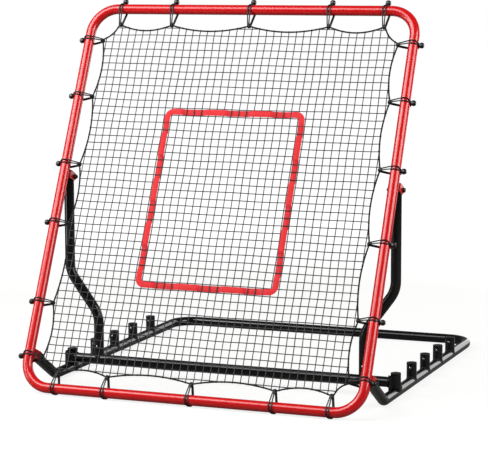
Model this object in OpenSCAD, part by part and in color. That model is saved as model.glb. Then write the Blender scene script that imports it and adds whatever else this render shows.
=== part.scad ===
// Pitching target net: a leaning tube frame that carries a rebound net, a prop that swings
// under it, and a ground base whose pegs locate the foot of the prop.
// Axes: X runs across the frame, Y from the front to the back, Z up.
// The origin is on the ground, at the middle of the whole outline.

/* [Tubing] */
// Outside diameter of every frame tube
tube_d = 32; // [29:0.5:35]
// Wall thickness of the tubes
tube_wall = 1.2; // [1:0.1:1.6]
// Radial clearance of a swaged end in the tube around it
swage_gap = 0.2; // [0.1:0.05:0.3]
// Length of a swaged end
swage_len = 50; // [40:1:60]
// Length of the neck that leads to a swaged end
neck_len = 2; // [1.5:0.5:4]
// Gap left between a coped tube end and the tube that it is welded to
cope_gap = 0.3; // [0.2:0.1:0.5]

/* [Net frame] */
// Width of the frame between tube centres
frame_w = 1100; // [1000:10:1200]
// Height of the frame along its slope, between tube centres
frame_h = 1275; // [1200:5:1350]
// Lean of the frame from upright, in degrees
frame_lean = 25.5; // [24:0.5:27]
// Centre-line radius of the frame's corner bends
corner_r = 85; // [70:1:110]
// Distance of the top and bottom seams from the middle
seam_x = 340; // [280:5:380]
// Height of the side seams along the slope
side_seam_v = 637; // [600:1:660]

/* [Pivots] */
// Distance of the pivots behind the frame's centre plane
pivot_off = 37; // [36:0.5:42]
// Height of the lower pivots along the slope
lower_pivot_v = 108; // [104:1:116]
// Height of the upper pivots along the slope
upper_pivot_v = 704; // [700:1:710]
// Diameter of the pivot bolts
bolt_d = 8; // [6:0.5:10]
// Radial clearance of a fixed bolt in an ear
bolt_gap = 0.2; // [0.1:0.05:0.3]
// Radial clearance of a pivot bolt in a swinging tube
pivot_gap = 0.3; // [0.25:0.05:0.5]
// Wall thickness of the ears
ear_wall = 3; // [2.5:0.5:4]
// Clearance between an ear's cheek and the tube inside it
ear_gap = 1; // [0.5:0.1:1.2]
// Height of an ear along the frame tube
ear_h = 26; // [24:1:28]
// Depth of the saddle that hugs the frame tube
saddle_depth = 7; // [5:0.5:9]
// Thickness of a bolt head
head_h = 5.3; // [4.5:0.1:6.5]
// Thickness of a nut
nut_h = 6.5; // [5.5:0.1:7.5]
// Length of bolt that stands out past its nut
bolt_tail = 2.5; // [1:0.5:4]
// Thickness of a washer
washer_t = 1.6; // [1.2:0.1:2]
// Radial clearance of a nut or washer on its bolt
nut_gap = 0.1; // [0.05:0.05:0.2]

/* [Prop] */
// Distance that each arm steps in towards the middle
arm_step = 100; // [80:5:120]
// Height of the outer bend of an arm
arm_bend_top = 332; // [320:1:345]
// Height of the inner bend of an arm
arm_bend_low = 196; // [185:1:205]
// Centre-line radius of the arm bends
arm_bend_r = 90; // [75:1:100]
// Height of the stub that an arm slips over
stub_h = 70; // [55:1:80]
// Height of an arm's snap button above the cross bar's centre
arm_button_up = 44; // [36:1:52]

/* [Hooks] */
// Wall thickness of a hook
hook_wall = 3; // [2:0.5:4]
// Clearance between a hook's cheeks and its peg
hook_side_gap = 1; // [0.6:0.1:1.5]
// Free play in front of the peg inside a hook
hook_play = 10.6; // [10.6:0.1:12]
// Distance of a hook's round front ahead of the cross bar's centre
hook_lead = 2.5; // [1:0.5:4]
// Length of a hook's cheeks behind the cross bar's centre
hook_back = 12; // [10:0.5:14]
// Height of a hook above the rail's top
hook_h = 44; // [40:1:46]
// Depth of a hook's cheeks beside the rail
hook_skirt = 10; // [6:1:12]
// Angle of the slanting cut across a hook's top
hook_cut = 52; // [48:1:56]
// Gap between a hook's front wall and the rail that it stands on
hook_seat_gap = 0.3; // [0.2:0.1:0.5]

/* [Base] */
// Place of the leg's bend behind the frame's foot
leg_bend_y = 218; // [210:1:226]
// Centre-line radius of the leg bend
leg_bend_r = 55; // [45:1:70]
// Place of the seam between leg and rail
leg_seam_y = 430; // [415:1:445]
// Place of the seam between rail and rear corner
rear_seam_y = 1125; // [1110:1:1135]
// Place of the rear bar's centre line
rear_y = 1232; // [1222:1:1250]
// Centre-line radius of the rear corner bends
rear_r = 75; // [65:1:82]
// Length of straight tube after a rear bend
rear_tail = 5; // [3:1:10]
// Distance of a rail's snap button ahead of its seam
rail_button_back = 24; // [18:1:30]

/* [Pegs] */
// Height of a peg's top above the rail's top
peg_h = 42.5; // [40:0.5:44]
// Place of the second peg
second_peg_y = 514; // [500:1:530]
// Distance between the pegs behind it
peg_pitch = 150; // [120:1:155]
// Distance of a peg's snap button below its top
peg_button_down = 13; // [12:0.5:14]
// Thickness of a peg cap's rim
cap_t = 2.5; // [2:0.5:4]
// Depth of a peg cap's plug
cap_plug = 4; // [3:0.5:5]
// Radial clearance of a peg cap's plug
cap_gap = 0.2; // [0.1:0.05:0.3]

/* [Snap buttons] */
// Diameter of a snap button
button_d = 7; // [6:0.5:8]
// Radial clearance of a snap button in its hole
button_gap = 0.3; // [0.25:0.05:0.4]
// Height of a snap button above the tube, which is its travel too
button_proud = 2.6; // [2:0.1:2.6]
// Width that a snap button's flange adds on each side
flange_lip = 1.1; // [0.8:0.1:1.4]
// Thickness of a snap button's flange
flange_t = 1.2; // [1:0.1:1.5]
// Running gap behind and in front of a flange
flange_gap = 0.3; // [0.2:0.1:0.4]
// Thickness of a button's leaf spring
leaf_t = 0.8; // [0.6:0.1:1]
// Width of a button's leaf spring
leaf_w = 8; // [6:0.5:9]
// Length of a button's leaf spring
leaf_len = 27; // [22:1:28]

/* [Net] */
// Thickness of the net
net_t = 1.6; // [1.2:0.1:2.4]
// Diameter of the edge rope
rope_d = 5; // [4:0.5:6]
// Gap between the net and its edge rope
rope_gap = 0.3; // [0.2:0.1:0.6]
// Distance of the top knots from the middle of the top tube
top_reach = 57; // [50:1:60]
// Height of the knots along the net's bottom edge
knot_low_v = 50; // [46:1:60]
// Distance of the side knots from the middle of the side tubes
side_reach = 50; // [48:1:60]
// Distance of the lowest side knots below the lower ears
knot_drop = 1; // [0:0.5:3]
// Length of rope that runs straight to each side of a knot
rope_straight = 5; // [4:0.5:6]
// Depth of the scallops along the top edge
sag_top = 18; // [10:1:22]
// Depth of the scallops along the bottom edge
sag_low = 15; // [10:1:20]
// Depth of the scallops along the sides
sag_side = 13; // [8:1:16]
// Depth of the scallops across the corners
sag_corner = 8; // [4:1:12]

/* [Strike zone] */
// Width of the strike zone between tape centres
zone_w = 452; // [420:1:480]
// Height of the strike zone between tape centres
zone_h = 573; // [540:1:600]
// Height of the strike zone's lower tape
zone_v = 350; // [330:1:370]
// Width of the tape
tape_w = 20; // [16:1:25]
// Thickness of the tape
tape_t = 1.6; // [1:0.2:2]
// Outer corner radius of the tape
tape_r = 30; // [24:1:40]
// Gap between the tape and the net
tape_gap = 0.2; // [0.1:0.1:0.5]

/* [Bungees] */
// Diameter of the bungee cord
cord_d = 4; // [3:0.5:5]
// Gap between a bungee and the tube that it goes round
cord_gap = 0.3; // [0.2:0.1:0.6]
// Slack of a bungee round the edge rope
cord_slack = 2; // [1.8:0.1:3]
// Gap between the two strands of a bungee
strand_gap = 0.2; // [0.1:0.1:0.5]
// Tilt of the two bungees beside the lower ears, in degrees
low_tilt = 32; // [31:1:34]
// Diameter of a bungee ball
ball_d = 15; // [13:0.5:17]
// Width of a bungee ball across its flats
ball_flat = 12.5; // [11:0.5:14]

/* [Hidden] */
$fn = 48;
over = 1;
bend_lap = 0.5;
bend_draw = 0.02;
tube_r = tube_d / 2;
bore_r = tube_r - tube_wall;
swage_r = bore_r - swage_gap;
swage_bore_r = swage_r - tube_wall;
side_x = frame_w / 2;

// Knots where the bungees hold the edge rope: those of the top and bottom as shares of half the
// frame's width, and those of the sides as shares of its height, above one under each lower ear
knot_top_v = frame_h - top_reach;
knot_side_x = side_x - side_reach;
top_shares = [-0.8145, -0.4855, 0, 0.4855, 0.8145];
low_shares = [-0.8, -0.4927, 0.0145, 0.5018, 0.8255];
left_shares = [0.2133, 0.4196, 0.5757, 0.7584, 0.9122];
right_shares = [0.2196, 0.4063, 0.5898, 0.7624, 0.9106];
top_knots = side_x * top_shares;
low_knots = side_x * low_shares;
left_knots = concat([lower_pivot_v - ear_h / 2 - knot_drop], frame_h * left_shares);
right_knots = concat([lower_pivot_v - ear_h / 2 - knot_drop], frame_h * right_shares);
rope_r = rope_d / 2;
rope_sides = 8;

// Bungee sizes round the frame tube and round the edge rope
cord_r = cord_d / 2;
strand_step = (cord_d + strand_gap) / 2;
function loop_r(tilt) = (tube_r + cord_gap + cord_r + strand_step * sin(tilt)) / cos(tilt);
function eye_r(tilt) = (rope_r + cord_slack + cord_r + strand_step * sin(tilt)) / cos(tilt);
cord_reach = tube_r + cord_gap + cord_d;

// The frame's foot stands a cord's thickness off the ground
frame_z = cord_reach + cord_gap;
origin_y = (rear_y + tube_r - cord_reach) / 2;

// Pivot places in the side plane, as [Y, Z]
function on_slope(v, off) = [v * sin(frame_lean) + off * cos(frame_lean),
                             frame_z + v * cos(frame_lean) - off * sin(frame_lean)];
low_pivot = on_slope(lower_pivot_v, pivot_off);
top_pivot = on_slope(upper_pivot_v, pivot_off);
rail_z = tube_r;
rail_top = rail_z + tube_r;

// Pivot hardware, measured out from the tube's centre plane
cheek_in = tube_r + ear_gap;
cheek_out = cheek_in + ear_wall;
bolt_r = bolt_d / 2;
head_r = bolt_d * 0.94;

// The prop hangs plumb, so the cross bar is straight below the upper pivot
bar_y = top_pivot[0];
bar_z = rail_top + tube_r;
arm_x = side_x - arm_step;

// Hook in plan, about the point where the bar's line meets the rail's
hook_ri = tube_r + hook_side_gap;
hook_ro = hook_ri + hook_wall;
hook_top = rail_top + hook_h;
first_peg_y = bar_y - hook_lead - hook_ri + hook_play + tube_r;
peg_top = rail_top + peg_h;
peg_button_z = peg_top - peg_button_down;
peg_ys = concat([first_peg_y], [for (i = [0:3]) second_peg_y + i * peg_pitch]);

// Snap buttons: the flange bears on the bore of the tube that holds it
button_r = button_d / 2;
flange_r = button_r + flange_lip;
function flange_out(bore) = sqrt(bore * bore - flange_r * flange_r) - flange_gap;

// ---- shared shapes ----

// Shifts the part so that its origin is at the middle of its outline
module placed() {
    translate([0, -origin_y, 0]) children();
}

// Builds on the frame's own plane: X across, Y behind, Z up the slope
module on_frame() {
    placed() translate([0, 0, frame_z]) rotate([-frame_lean, 0, 0]) children();
}

// Mirrors a right-hand shape to the given side
module on_side(side) {
    mirror([side < 0 ? 1 : 0, 0, 0]) children();
}

// A solid rod that starts up +Z; a number is a straight, [angle, radius] a bend towards +X.
// Straights lap into the bends, where bending has drawn the section in by a hair.
module rod_run(steps, r, i = 0) {
    if (i < len(steps)) {
        if (is_num(steps[i])) {
            start = i > 0 ? -bend_lap : 0;
            end = steps[i] + (i < len(steps) - 1 ? bend_lap : 0);
            translate([0, 0, start]) cylinder(h = end - start, r = r);
            translate([0, 0, steps[i]]) rod_run(steps, r, i + 1);
        } else {
            turn = abs(steps[i][0]);
            bend = steps[i][1];
            flip = steps[i][0] < 0 ? 180 : 0;
            rotate([0, 0, flip]) {
                translate([bend, 0, 0]) rotate([90, 0, 180])
                    rotate_extrude(angle = turn) translate([bend, 0]) circle(r = r - bend_draw);
                translate([bend * (1 - cos(turn)), 0, bend * sin(turn)]) rotate([0, turn, 0])
                    rotate([0, 0, flip]) rod_run(steps, r, i + 1);
            }
        }
    }
}

// The same steps with the last straight lengthened, so that a bore breaks through
function longer(steps) = [for (i = [0:len(steps) - 1])
    i == len(steps) - 1 ? steps[i] + over : steps[i]];

// A bent tube, open at both ends
module tube_run(steps) {
    difference() {
        rod_run(steps, tube_r);
        rod_run(longer(steps), bore_r);
        translate([0, 0, -over]) cylinder(h = 2 * over, r = bore_r);
    }
}

// A rod run whose first straight starts in a half ball
module domed_rod(steps, r) {
    rotate_extrude() {
        intersection() {
            circle(r = r);
            translate([0, -r]) square(r);
        }
        square([r, steps[0] + bend_lap]);
    }
    translate([0, 0, steps[0]]) rod_run(steps, r, 1);
}

// A tube whose first end is a dome round a pivot hole; hole is the hole's own rotation
module pivoted_run(steps, hole) {
    difference() {
        domed_rod(steps, tube_r);
        domed_rod(longer(steps), bore_r);
        rotate(hole) cylinder(h = 3 * tube_r, r = bolt_r + pivot_gap, center = true);
    }
}

// A swaged end that stands up +Z from the tube end at the origin
module swaged_end() {
    difference() {
        union() {
            translate([0, 0, -neck_len]) cylinder(h = neck_len / 2, r = bore_r + tube_wall / 2);
            translate([0, 0, -neck_len]) cylinder(h = neck_len + swage_len, r = swage_r);
        }
        translate([0, 0, -neck_len - over])
            cylinder(h = neck_len + swage_len + 2 * over, r = swage_bore_r);
    }
}

// A hole for a snap button, out along +Z from the tube's centre
module button_hole() {
    cylinder(h = tube_r + over, r = button_r + button_gap);
}

// A snap button out along +Z from the centre of a tube with the given bore
module snap_button(bore) {
    low = flange_out(bore) - flange_t;
    tip = tube_r + button_proud;
    dome = button_proud * 0.7;
    rotate_extrude() polygon([[0, low], [flange_r, low], [flange_r, low + flange_t],
        [button_r, low + flange_t], [button_r, tip - dome], [button_r * 0.9, tip - dome * 0.5],
        [button_r * 0.66, tip - dome * 0.16], [button_r * 0.3, tip], [0, tip]]);
}

// A folded leaf spring behind a snap button, its fold towards -Y and its front towards +Z
module leaf_spring(bore) {
    front = flange_out(bore) - flange_t - button_proud - flange_gap;
    back = sqrt(bore * bore - leaf_w * leaf_w / 4) - flange_gap;
    rotate([90, 0, 90]) translate([0, 0, -leaf_w / 2]) linear_extrude(leaf_w)
        polygon([[flange_r, front], [flange_r, front - leaf_t], [-leaf_len + 3 * leaf_t, -back + 2 * leaf_t],
            [-leaf_len + 3 * leaf_t, -back + leaf_t], [flange_r, -back + leaf_t], [flange_r, -back],
            [-leaf_len + leaf_t, -back], [-leaf_len, -back + leaf_t], [-leaf_len, -back + 3 * leaf_t],
            [-leaf_len + leaf_t, -back + 4 * leaf_t]]);
}

// ---- net frame ----

side_run = frame_h - side_seam_v - corner_r;
seam_run = side_x - corner_r - seam_x;

module corner_upper(side) {
    color("#c8141c") on_frame() on_side(side) translate([side_x, 0, side_seam_v])
        rotate([0, 0, 180]) tube_run([side_run, [90, corner_r], seam_run]);
}

module corner_lower(side) {
    color("#c8141c") on_frame() on_side(side) translate([side_x, 0, side_seam_v]) {
        rotate([180, 0, 180]) tube_run([side_seam_v - corner_r, [90, corner_r], seam_run]);
        swaged_end();
    }
}

// A straight tube across the frame, swaged at both ends
module frame_tube(v) {
    color("#c8141c") on_frame() translate([0, 0, v]) for (side = [-1, 1]) on_side(side)
        rotate([0, 90, 0]) {
            tube_run([seam_x]);
            translate([0, 0, seam_x]) swaged_end();
        }
}

module top_tube() {
    frame_tube(frame_h);
}

module bottom_tube() {
    frame_tube(0);
}

// Outline of an ear's cheek in the side plane, about the pivot
module cheek() {
    circle(r = ear_h / 2);
    translate([-pivot_off + tube_r, -ear_h / 2]) square([pivot_off - tube_r, ear_h]);
}

// A welded ear: a saddle on the back of the frame tube and two cheeks round the pivot
module ear(v) {
    translate([side_x, 0, v]) difference() {
        union() {
            for (x = [-cheek_out, cheek_in]) translate([x, pivot_off, 0])
                rotate([90, 0, 90]) linear_extrude(ear_wall) cheek();
            translate([-cheek_out, tube_r - saddle_depth, -ear_h / 2])
                cube([2 * cheek_out, saddle_depth + ear_wall, ear_h]);
        }
        translate([0, 0, -ear_h]) cylinder(h = 2 * ear_h, r = tube_r);
        translate([0, pivot_off, 0]) rotate([0, 90, 0])
            cylinder(h = 3 * cheek_out, r = bolt_r + bolt_gap, center = true);
    }
}

module ears(v) {
    color("#c8141c") on_frame() for (side = [-1, 1]) on_side(side) ear(v);
}

module ears_upper() {
    ears(upper_pivot_v);
}

module ears_lower() {
    ears(lower_pivot_v);
}

// Places its children at the four pivots, out along +Z and clear of the outer cheek
module at_pivots() {
    on_frame() for (side = [-1, 1], v = [lower_pivot_v, upper_pivot_v]) on_side(side)
        translate([side_x, pivot_off, v]) rotate([0, 90, 0]) children();
}

module pivot_bolts() {
    color("#16161a") at_pivots() {
        shank = 2 * cheek_out + 2 * washer_t + nut_h + bolt_tail;
        translate([0, 0, cheek_out + washer_t - shank]) cylinder(h = shank, r = bolt_r);
        translate([0, 0, cheek_out + washer_t]) cylinder(h = head_h, r = head_r, $fn = 6);
    }
}

module pivot_nuts() {
    color("#b9b6b4") at_pivots() translate([0, 0, -cheek_out - washer_t - nut_h]) difference() {
        cylinder(h = nut_h, r = head_r, $fn = 6);
        translate([0, 0, -over]) cylinder(h = nut_h + 2 * over, r = bolt_r + nut_gap);
    }
}

module pivot_washers() {
    color("#b9b6b4") at_pivots() for (z = [cheek_out, -cheek_out - washer_t])
        translate([0, 0, z]) difference() {
            cylinder(h = washer_t, r = bolt_d);
            translate([0, 0, -over]) cylinder(h = washer_t + 2 * over, r = bolt_r + nut_gap);
        }
}

// ---- net, rope and strike zone ----

// The knots in order round the net, as [X, height along the slope]
knots = concat([for (x = low_knots) [x, knot_low_v]],
               [for (v = right_knots) [knot_side_x, v]],
               [for (i = [len(top_knots) - 1:-1:0]) [top_knots[i], knot_top_v]],
               [for (i = [len(left_knots) - 1:-1:0]) [-knot_side_x, left_knots[i]]]);

// Depth of the scallop between two knots
function sag(a, b) = a[0] == b[0] ? sag_side
    : a[1] != b[1] ? sag_corner
    : a[1] == knot_low_v ? sag_low : sag_top;

// Spans of rope in one scallop
function spans(a, b) = a[0] != b[0] && a[1] != b[1] ? 2 : 4;

// Way that the rope runs through a bungee's eye at a knot
function way(k) = abs(k[0]) == knot_side_x ? [0, sign(k[0])] : [k[1] == knot_low_v ? 1 : -1, 0];

// Centre line of the edge rope: each scallop is a parabola that bows towards the net
rope_line = [for (i = [0:len(knots) - 1])
    let (from = knots[i], to = knots[(i + 1) % len(knots)], n = spans(from, to),
         a = from + way(from) * rope_straight, b = to - way(to) * rope_straight,
         d = (b - a) / norm(b - a), bow = [-d[1], d[0]] * 4 * sag(from, to))
    for (j = [0:n])
        let (t = j / n) a + (b - a) * t + bow * t * (1 - t)];

// Sections of the rope, each square to the line through its neighbours
rope_points = [for (i = [0:len(rope_line) - 1])
    let (n = len(rope_line), p = rope_line[i],
         along = rope_line[(i + 1) % n] - rope_line[(i + n - 1) % n], d = along / norm(along))
    for (k = [0:rope_sides - 1])
        let (a = 360 * k / rope_sides)
        [p[0] - d[1] * rope_r * cos(a), rope_r * sin(a), p[1] + d[0] * rope_r * cos(a)]];

module edge_rope() {
    n = len(rope_line);
    s = rope_sides;
    color("#101012") on_frame() polyhedron(points = rope_points,
        faces = [for (i = [0:n - 1], k = [0:s - 1])
            let (a = i * s + k, b = i * s + (k + 1) % s, c = ((i + 1) % n) * s + k,
                 e = ((i + 1) % n) * s + (k + 1) % s)
            each [[a, b, e], [a, e, c]]]);
}

// Room for a bungee's eye to pass through the net beside a knot
module eye_notch() {
    deep = eye_r(low_tilt) + cord_r + 2 * rope_gap;
    wide = (cord_d + strand_gap / 2 + 2 * rope_gap) / cos(low_tilt);
    translate([-deep, -wide]) square([2 * deep, 2 * wide]);
}

module net_panel() {
    color("#3a3c40") on_frame() rotate([90, 0, 0]) translate([0, 0, -net_t / 2])
        linear_extrude(net_t) difference() {
            offset(delta = -rope_r - rope_gap) polygon(rope_line);
            for (k = knots) translate(k) rotate(abs(k[0]) == knot_side_x ? 0 : 90) eye_notch();
        }
}

module rounded_frame(w, h, r) {
    square([w - 2 * r, h], center = true);
    square([w, h - 2 * r], center = true);
    for (x = [-1, 1], y = [-1, 1]) translate([x * (w / 2 - r), y * (h / 2 - r)]) circle(r = r);
}

module strike_tape() {
    color("#d8203a") on_frame() translate([0, -net_t / 2 - tape_gap, zone_v + zone_h / 2])
        rotate([90, 0, 0]) linear_extrude(tape_t) difference() {
            rounded_frame(zone_w + tape_w, zone_h + tape_w, tape_r);
            rounded_frame(zone_w - tape_w, zone_h - tape_w, tape_r - tape_w);
        }
}

// ---- bungees ----

// Each places its children on a frame tube, their +X towards the net and +Y behind
module at_left(v) {
    on_frame() translate([-side_x, 0, v]) children();
}

module at_right(v) {
    on_frame() translate([side_x, 0, v]) mirror([1, 0, 0]) children();
}

module at_top(x) {
    on_frame() translate([x, 0, frame_h]) rotate([0, 90, 0]) children();
}

module at_bottom(x) {
    on_frame() translate([x, 0, 0]) rotate([0, -90, 0]) children();
}

// One strand: round the tube, along both sides and round the edge rope.
// The straights lap into the arcs, as those of a bent tube do.
module strand(big, eye, reach) {
    meet = acos((big - eye) / reach);
    rotate([0, 0, meet]) rotate_extrude(angle = 360 - 2 * meet)
        translate([big, 0]) circle(r = cord_r - bend_draw);
    translate([reach, 0, 0]) rotate([0, 0, -meet])
        rotate_extrude(angle = 2 * meet) translate([eye, 0]) circle(r = cord_r - bend_draw);
    for (m = [0, 1]) mirror([0, m, 0]) rotate([0, 0, meet]) translate([big, bend_lap / 2, 0])
        rotate([90, 0, 0]) cylinder(h = reach * sin(meet) + bend_lap, r = cord_r);
}

// A bungee is two strands side by side
module bungee(reach, tilt = 0) {
    color("#141416") rotate([-tilt, 0, 0]) for (z = [-strand_step, strand_step])
        translate([0, 0, z]) strand(loop_r(tilt), eye_r(tilt), reach);
}

// A ball that rides on a bungee's strands, turned from the net's side by angle
module ball(angle, tilt = 0) {
    color("#1c1c20") rotate([-tilt, 0, angle])
        translate([loop_r(tilt) + cord_r + cord_gap + ball_flat / 2, 0, 0]) intersection() {
            sphere(d = ball_d);
            cube(ball_flat, center = true);
        }
}

// Tilt of a side bungee: the lowest one passes under the ear
function side_tilt(i) = i == 0 ? low_tilt : 0;

module bungees_top() {
    for (x = top_knots) at_top(x) bungee(frame_h - knot_top_v);
}

module bungees_bottom() {
    for (x = low_knots) at_bottom(x) bungee(knot_low_v);
}

module bungees_left() {
    for (i = [0:len(left_knots) - 1]) at_left(left_knots[i]) bungee(side_x - knot_side_x, side_tilt(i));
}

module bungees_right() {
    for (i = [0:len(right_knots) - 1]) at_right(right_knots[i]) bungee(side_x - knot_side_x, side_tilt(i));
}

module bungee_balls() {
    for (x = top_knots) at_top(x) ball(180);
    for (x = low_knots) at_bottom(x) ball(90);
    for (i = [0:len(left_knots) - 1]) at_left(left_knots[i]) ball(180, side_tilt(i));
    for (i = [0:len(right_knots) - 1]) at_right(right_knots[i]) ball(180, side_tilt(i));
}

// ---- prop ----

arm_angle = atan(arm_step / (arm_bend_top - arm_bend_low));
arm_trim = arm_bend_r * tan(arm_angle / 2);
arm_slant = norm([arm_step, arm_bend_top - arm_bend_low]);
arm_button_z = bar_z + arm_button_up;

// Places its children at an arm's snap button, out along +Z
module at_arm_button(side) {
    on_side(side) placed() translate([arm_x, bar_y, arm_button_z]) rotate([90, 0, 0]) children();
}

module arm(side) {
    color("#141418") difference() {
        on_side(side) placed() translate([side_x, top_pivot[0], top_pivot[1]]) rotate([180, 0, 0])
            pivoted_run([top_pivot[1] - arm_bend_top - arm_trim, [-arm_angle, arm_bend_r],
                         arm_slant - 2 * arm_trim, [arm_angle, arm_bend_r],
                         arm_bend_low - arm_trim - bar_z], [0, 90, 0]);
        placed() translate([0, bar_y, bar_z]) rotate([0, 90, 0])
            cylinder(h = frame_w, r = tube_r + cope_gap, center = true);
        at_arm_button(side) button_hole();
    }
}

// A hook's outline in plan: a round front and straight sides
module hook_outline(r, back) {
    difference() {
        translate([0, -hook_lead]) circle(r = r);
        translate([-2 * r, -hook_lead]) square([4 * r, 2 * r]);
    }
    translate([-r, -hook_lead]) square([2 * r, hook_lead + back]);
}

// Everything above a line that falls from the hook's front edge to z at its back end
module above_slant(from_x, to_x, z) {
    front = -hook_lead - hook_ro;
    slope = (hook_top - z) / (hook_back - front);
    translate([from_x, 0, 0]) rotate([90, 0, 90]) linear_extrude(to_x - from_x)
        polygon([[front - over, hook_top + slope * over], [hook_back + over, z - slope * over],
                 [hook_back + over, hook_top + 2 * over], [front - over, hook_top + 2 * over]]);
}

// A scoop that drops over a peg: open behind, cut away over the rail and across its top
module hook(side) {
    low = rail_top - hook_skirt;
    passage = hook_ri - hook_side_gap / 2;
    cut_z = hook_top - tan(hook_cut) * (hook_back + hook_lead + hook_ro);
    color("#141418") on_side(side) placed() translate([side_x, bar_y, 0]) {
        difference() {
            translate([0, 0, low]) linear_extrude(hook_top - low) difference() {
                hook_outline(hook_ro, hook_back);
                hook_outline(hook_ri, hook_back + over);
            }
            translate([-passage, -2 * hook_ro, low - over])
                cube([2 * passage, 4 * hook_ro, hook_skirt + over + hook_seat_gap]);
            above_slant(-hook_ri, hook_ro + over, cut_z);
            above_slant(-hook_ro - over, -hook_ri, bar_z + tube_r);
        }
        translate([-hook_ro, 0, bar_z]) rotate([0, 90, 0]) cylinder(h = hook_wall, r = tube_r);
    }
}

// The cross bar with its two stubs, its ends closed by the hooks' round plates
module cross_bar() {
    color("#141418") difference() {
        placed() translate([0, bar_y, bar_z]) {
            rotate([0, 90, 0]) cylinder(h = 2 * (side_x - hook_ro), r = tube_r, center = true);
            for (x = [-arm_x, arm_x]) translate([x, 0, 0]) cylinder(h = stub_h, r = swage_r);
        }
        placed() translate([0, bar_y, bar_z]) {
            rotate([0, 90, 0]) cylinder(h = frame_w, r = bore_r, center = true);
            for (x = [-arm_x, arm_x]) translate([x, 0, tube_r])
                cylinder(h = stub_h, r = swage_bore_r);
        }
        for (side = [-1, 1]) at_arm_button(side) button_hole();
    }
}

module arm_button(side) {
    color("#d8d8dc") at_arm_button(side) snap_button(swage_bore_r);
}

module arm_leaf_springs() {
    color("#8c8c90") for (side = [-1, 1]) at_arm_button(side) leaf_spring(swage_bore_r);
}

// ---- base ----

leg_rise = low_pivot[1] - rail_z;
leg_run = leg_bend_y - low_pivot[0];
leg_angle = atan(leg_rise / leg_run);
leg_trim = leg_bend_r * tan(leg_angle / 2);

module leg(side) {
    color("#141418") on_side(side) placed() {
        translate([side_x, low_pivot[0], low_pivot[1]])
            rotate([-90 - leg_angle, 0, 0]) rotate([0, 0, -90])
                pivoted_run([norm([leg_rise, leg_run]) - leg_trim, [leg_angle, leg_bend_r],
                             leg_seam_y - leg_bend_y - leg_trim], [90, 0, 0]);
    }
}

// Places its children at a rail's snap button, out along +Z
module at_rail_button(side) {
    on_side(side) placed() translate([side_x, rear_seam_y - rail_button_back, rail_z]) children();
}

module rail(side) {
    color("#141418") difference() {
        on_side(side) placed() translate([side_x, leg_seam_y, rail_z]) {
            rotate([-90, 0, 0]) tube_run([rear_seam_y - leg_seam_y]);
            rotate([90, 0, 0]) swaged_end();
        }
        at_rail_button(side) button_hole();
    }
}

module rear_corner(side) {
    color("#141418") difference() {
        on_side(side) placed() {
            translate([side_x, rear_seam_y, rail_z]) {
                rotate([-90, 0, 0]) rotate([0, 0, 180])
                    tube_run([rear_y - rear_r - rear_seam_y, [90, rear_r], rear_tail]);
                rotate([90, 0, 0]) swaged_end();
            }
            translate([side_x - rear_r - rear_tail, rear_y, rail_z]) rotate([0, -90, 0]) swaged_end();
        }
        at_rail_button(side) button_hole();
    }
}

module rear_bar() {
    half = side_x - rear_r - rear_tail;
    color("#141418") placed() translate([-half, rear_y, rail_z]) rotate([0, 90, 0])
        tube_run([2 * half]);
}

module rail_button(side) {
    color("#26262a") at_rail_button(side) snap_button(swage_bore_r);
}

module rail_leaf_springs() {
    color("#8c8c90") for (side = [-1, 1]) at_rail_button(side) rotate([0, 0, 180])
        leaf_spring(swage_bore_r);
}

// ---- pegs ----

// Places its children at a peg's snap button, out along +Z
module at_peg_button(side, i) {
    on_side(side) placed() translate([side_x, peg_ys[i], peg_button_z]) rotate([90, 0, 0]) children();
}

module pegs(side) {
    color("#141418") difference() {
        on_side(side) placed() for (y = peg_ys) translate([side_x, y, rail_z]) difference() {
            cylinder(h = peg_top - rail_z, r = tube_r);
            translate([0, 0, -over]) cylinder(h = peg_top - rail_z + 2 * over, r = bore_r);
        }
        on_side(side) placed() translate([side_x, 0, rail_z]) rotate([-90, 0, 0])
            cylinder(h = rear_y, r = tube_r + cope_gap);
        for (i = [0:len(peg_ys) - 1]) at_peg_button(side, i) button_hole();
    }
}

module peg_caps() {
    color("#1e1e22") for (side = [-1, 1], y = peg_ys) on_side(side) placed()
        translate([side_x, y, peg_top]) {
            rotate_extrude() polygon([[0, 0], [tube_r, 0], [tube_r, cap_t * 0.5],
                [tube_r - cap_t * 0.2, cap_t * 0.85], [tube_r - cap_t * 0.6, cap_t], [0, cap_t]]);
            translate([0, 0, -cap_plug]) cylinder(h = cap_plug, r = bore_r - cap_gap);
        }
}

module peg_button(side, i) {
    color("#d8d8dc") at_peg_button(side, i) snap_button(bore_r);
}

module peg_leaf_springs() {
    color("#8c8c90") for (side = [-1, 1], i = [0:len(peg_ys) - 1]) at_peg_button(side, i)
        leaf_spring(bore_r);
}

corner_upper(-1);  // corner_upper_left
corner_upper(1);  // corner_upper_right
corner_lower(-1);  // corner_lower_left
corner_lower(1);  // corner_lower_right
top_tube();
bottom_tube();
ears_upper();
ears_lower();
pivot_bolts();
pivot_nuts();
pivot_washers();
net_panel();
edge_rope();
strike_tape();
bungees_top();
bungees_bottom();
bungees_left();
bungees_right();
bungee_balls();
arm(-1);  // arm_left
arm(1);  // arm_right
cross_bar();
hook(-1);  // hook_left
hook(1);  // hook_right
arm_leaf_springs();
arm_button(-1);  // arm_button_left
arm_button(1);  // arm_button_right
leg(-1);  // leg_left
leg(1);  // leg_right
rail(-1);  // rail_left
rail(1);  // rail_right
rear_corner(-1);  // rear_corner_left
rear_corner(1);  // rear_corner_right
rear_bar();
pegs(-1);  // pegs_left
pegs(1);  // pegs_right
peg_caps();
peg_leaf_springs();
rail_leaf_springs();
rail_button(-1);  // rail_button_left
rail_button(1);  // rail_button_right
peg_button(-1, 0);  // peg_button_left_1
peg_button(-1, 1);  // peg_button_left_2
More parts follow.
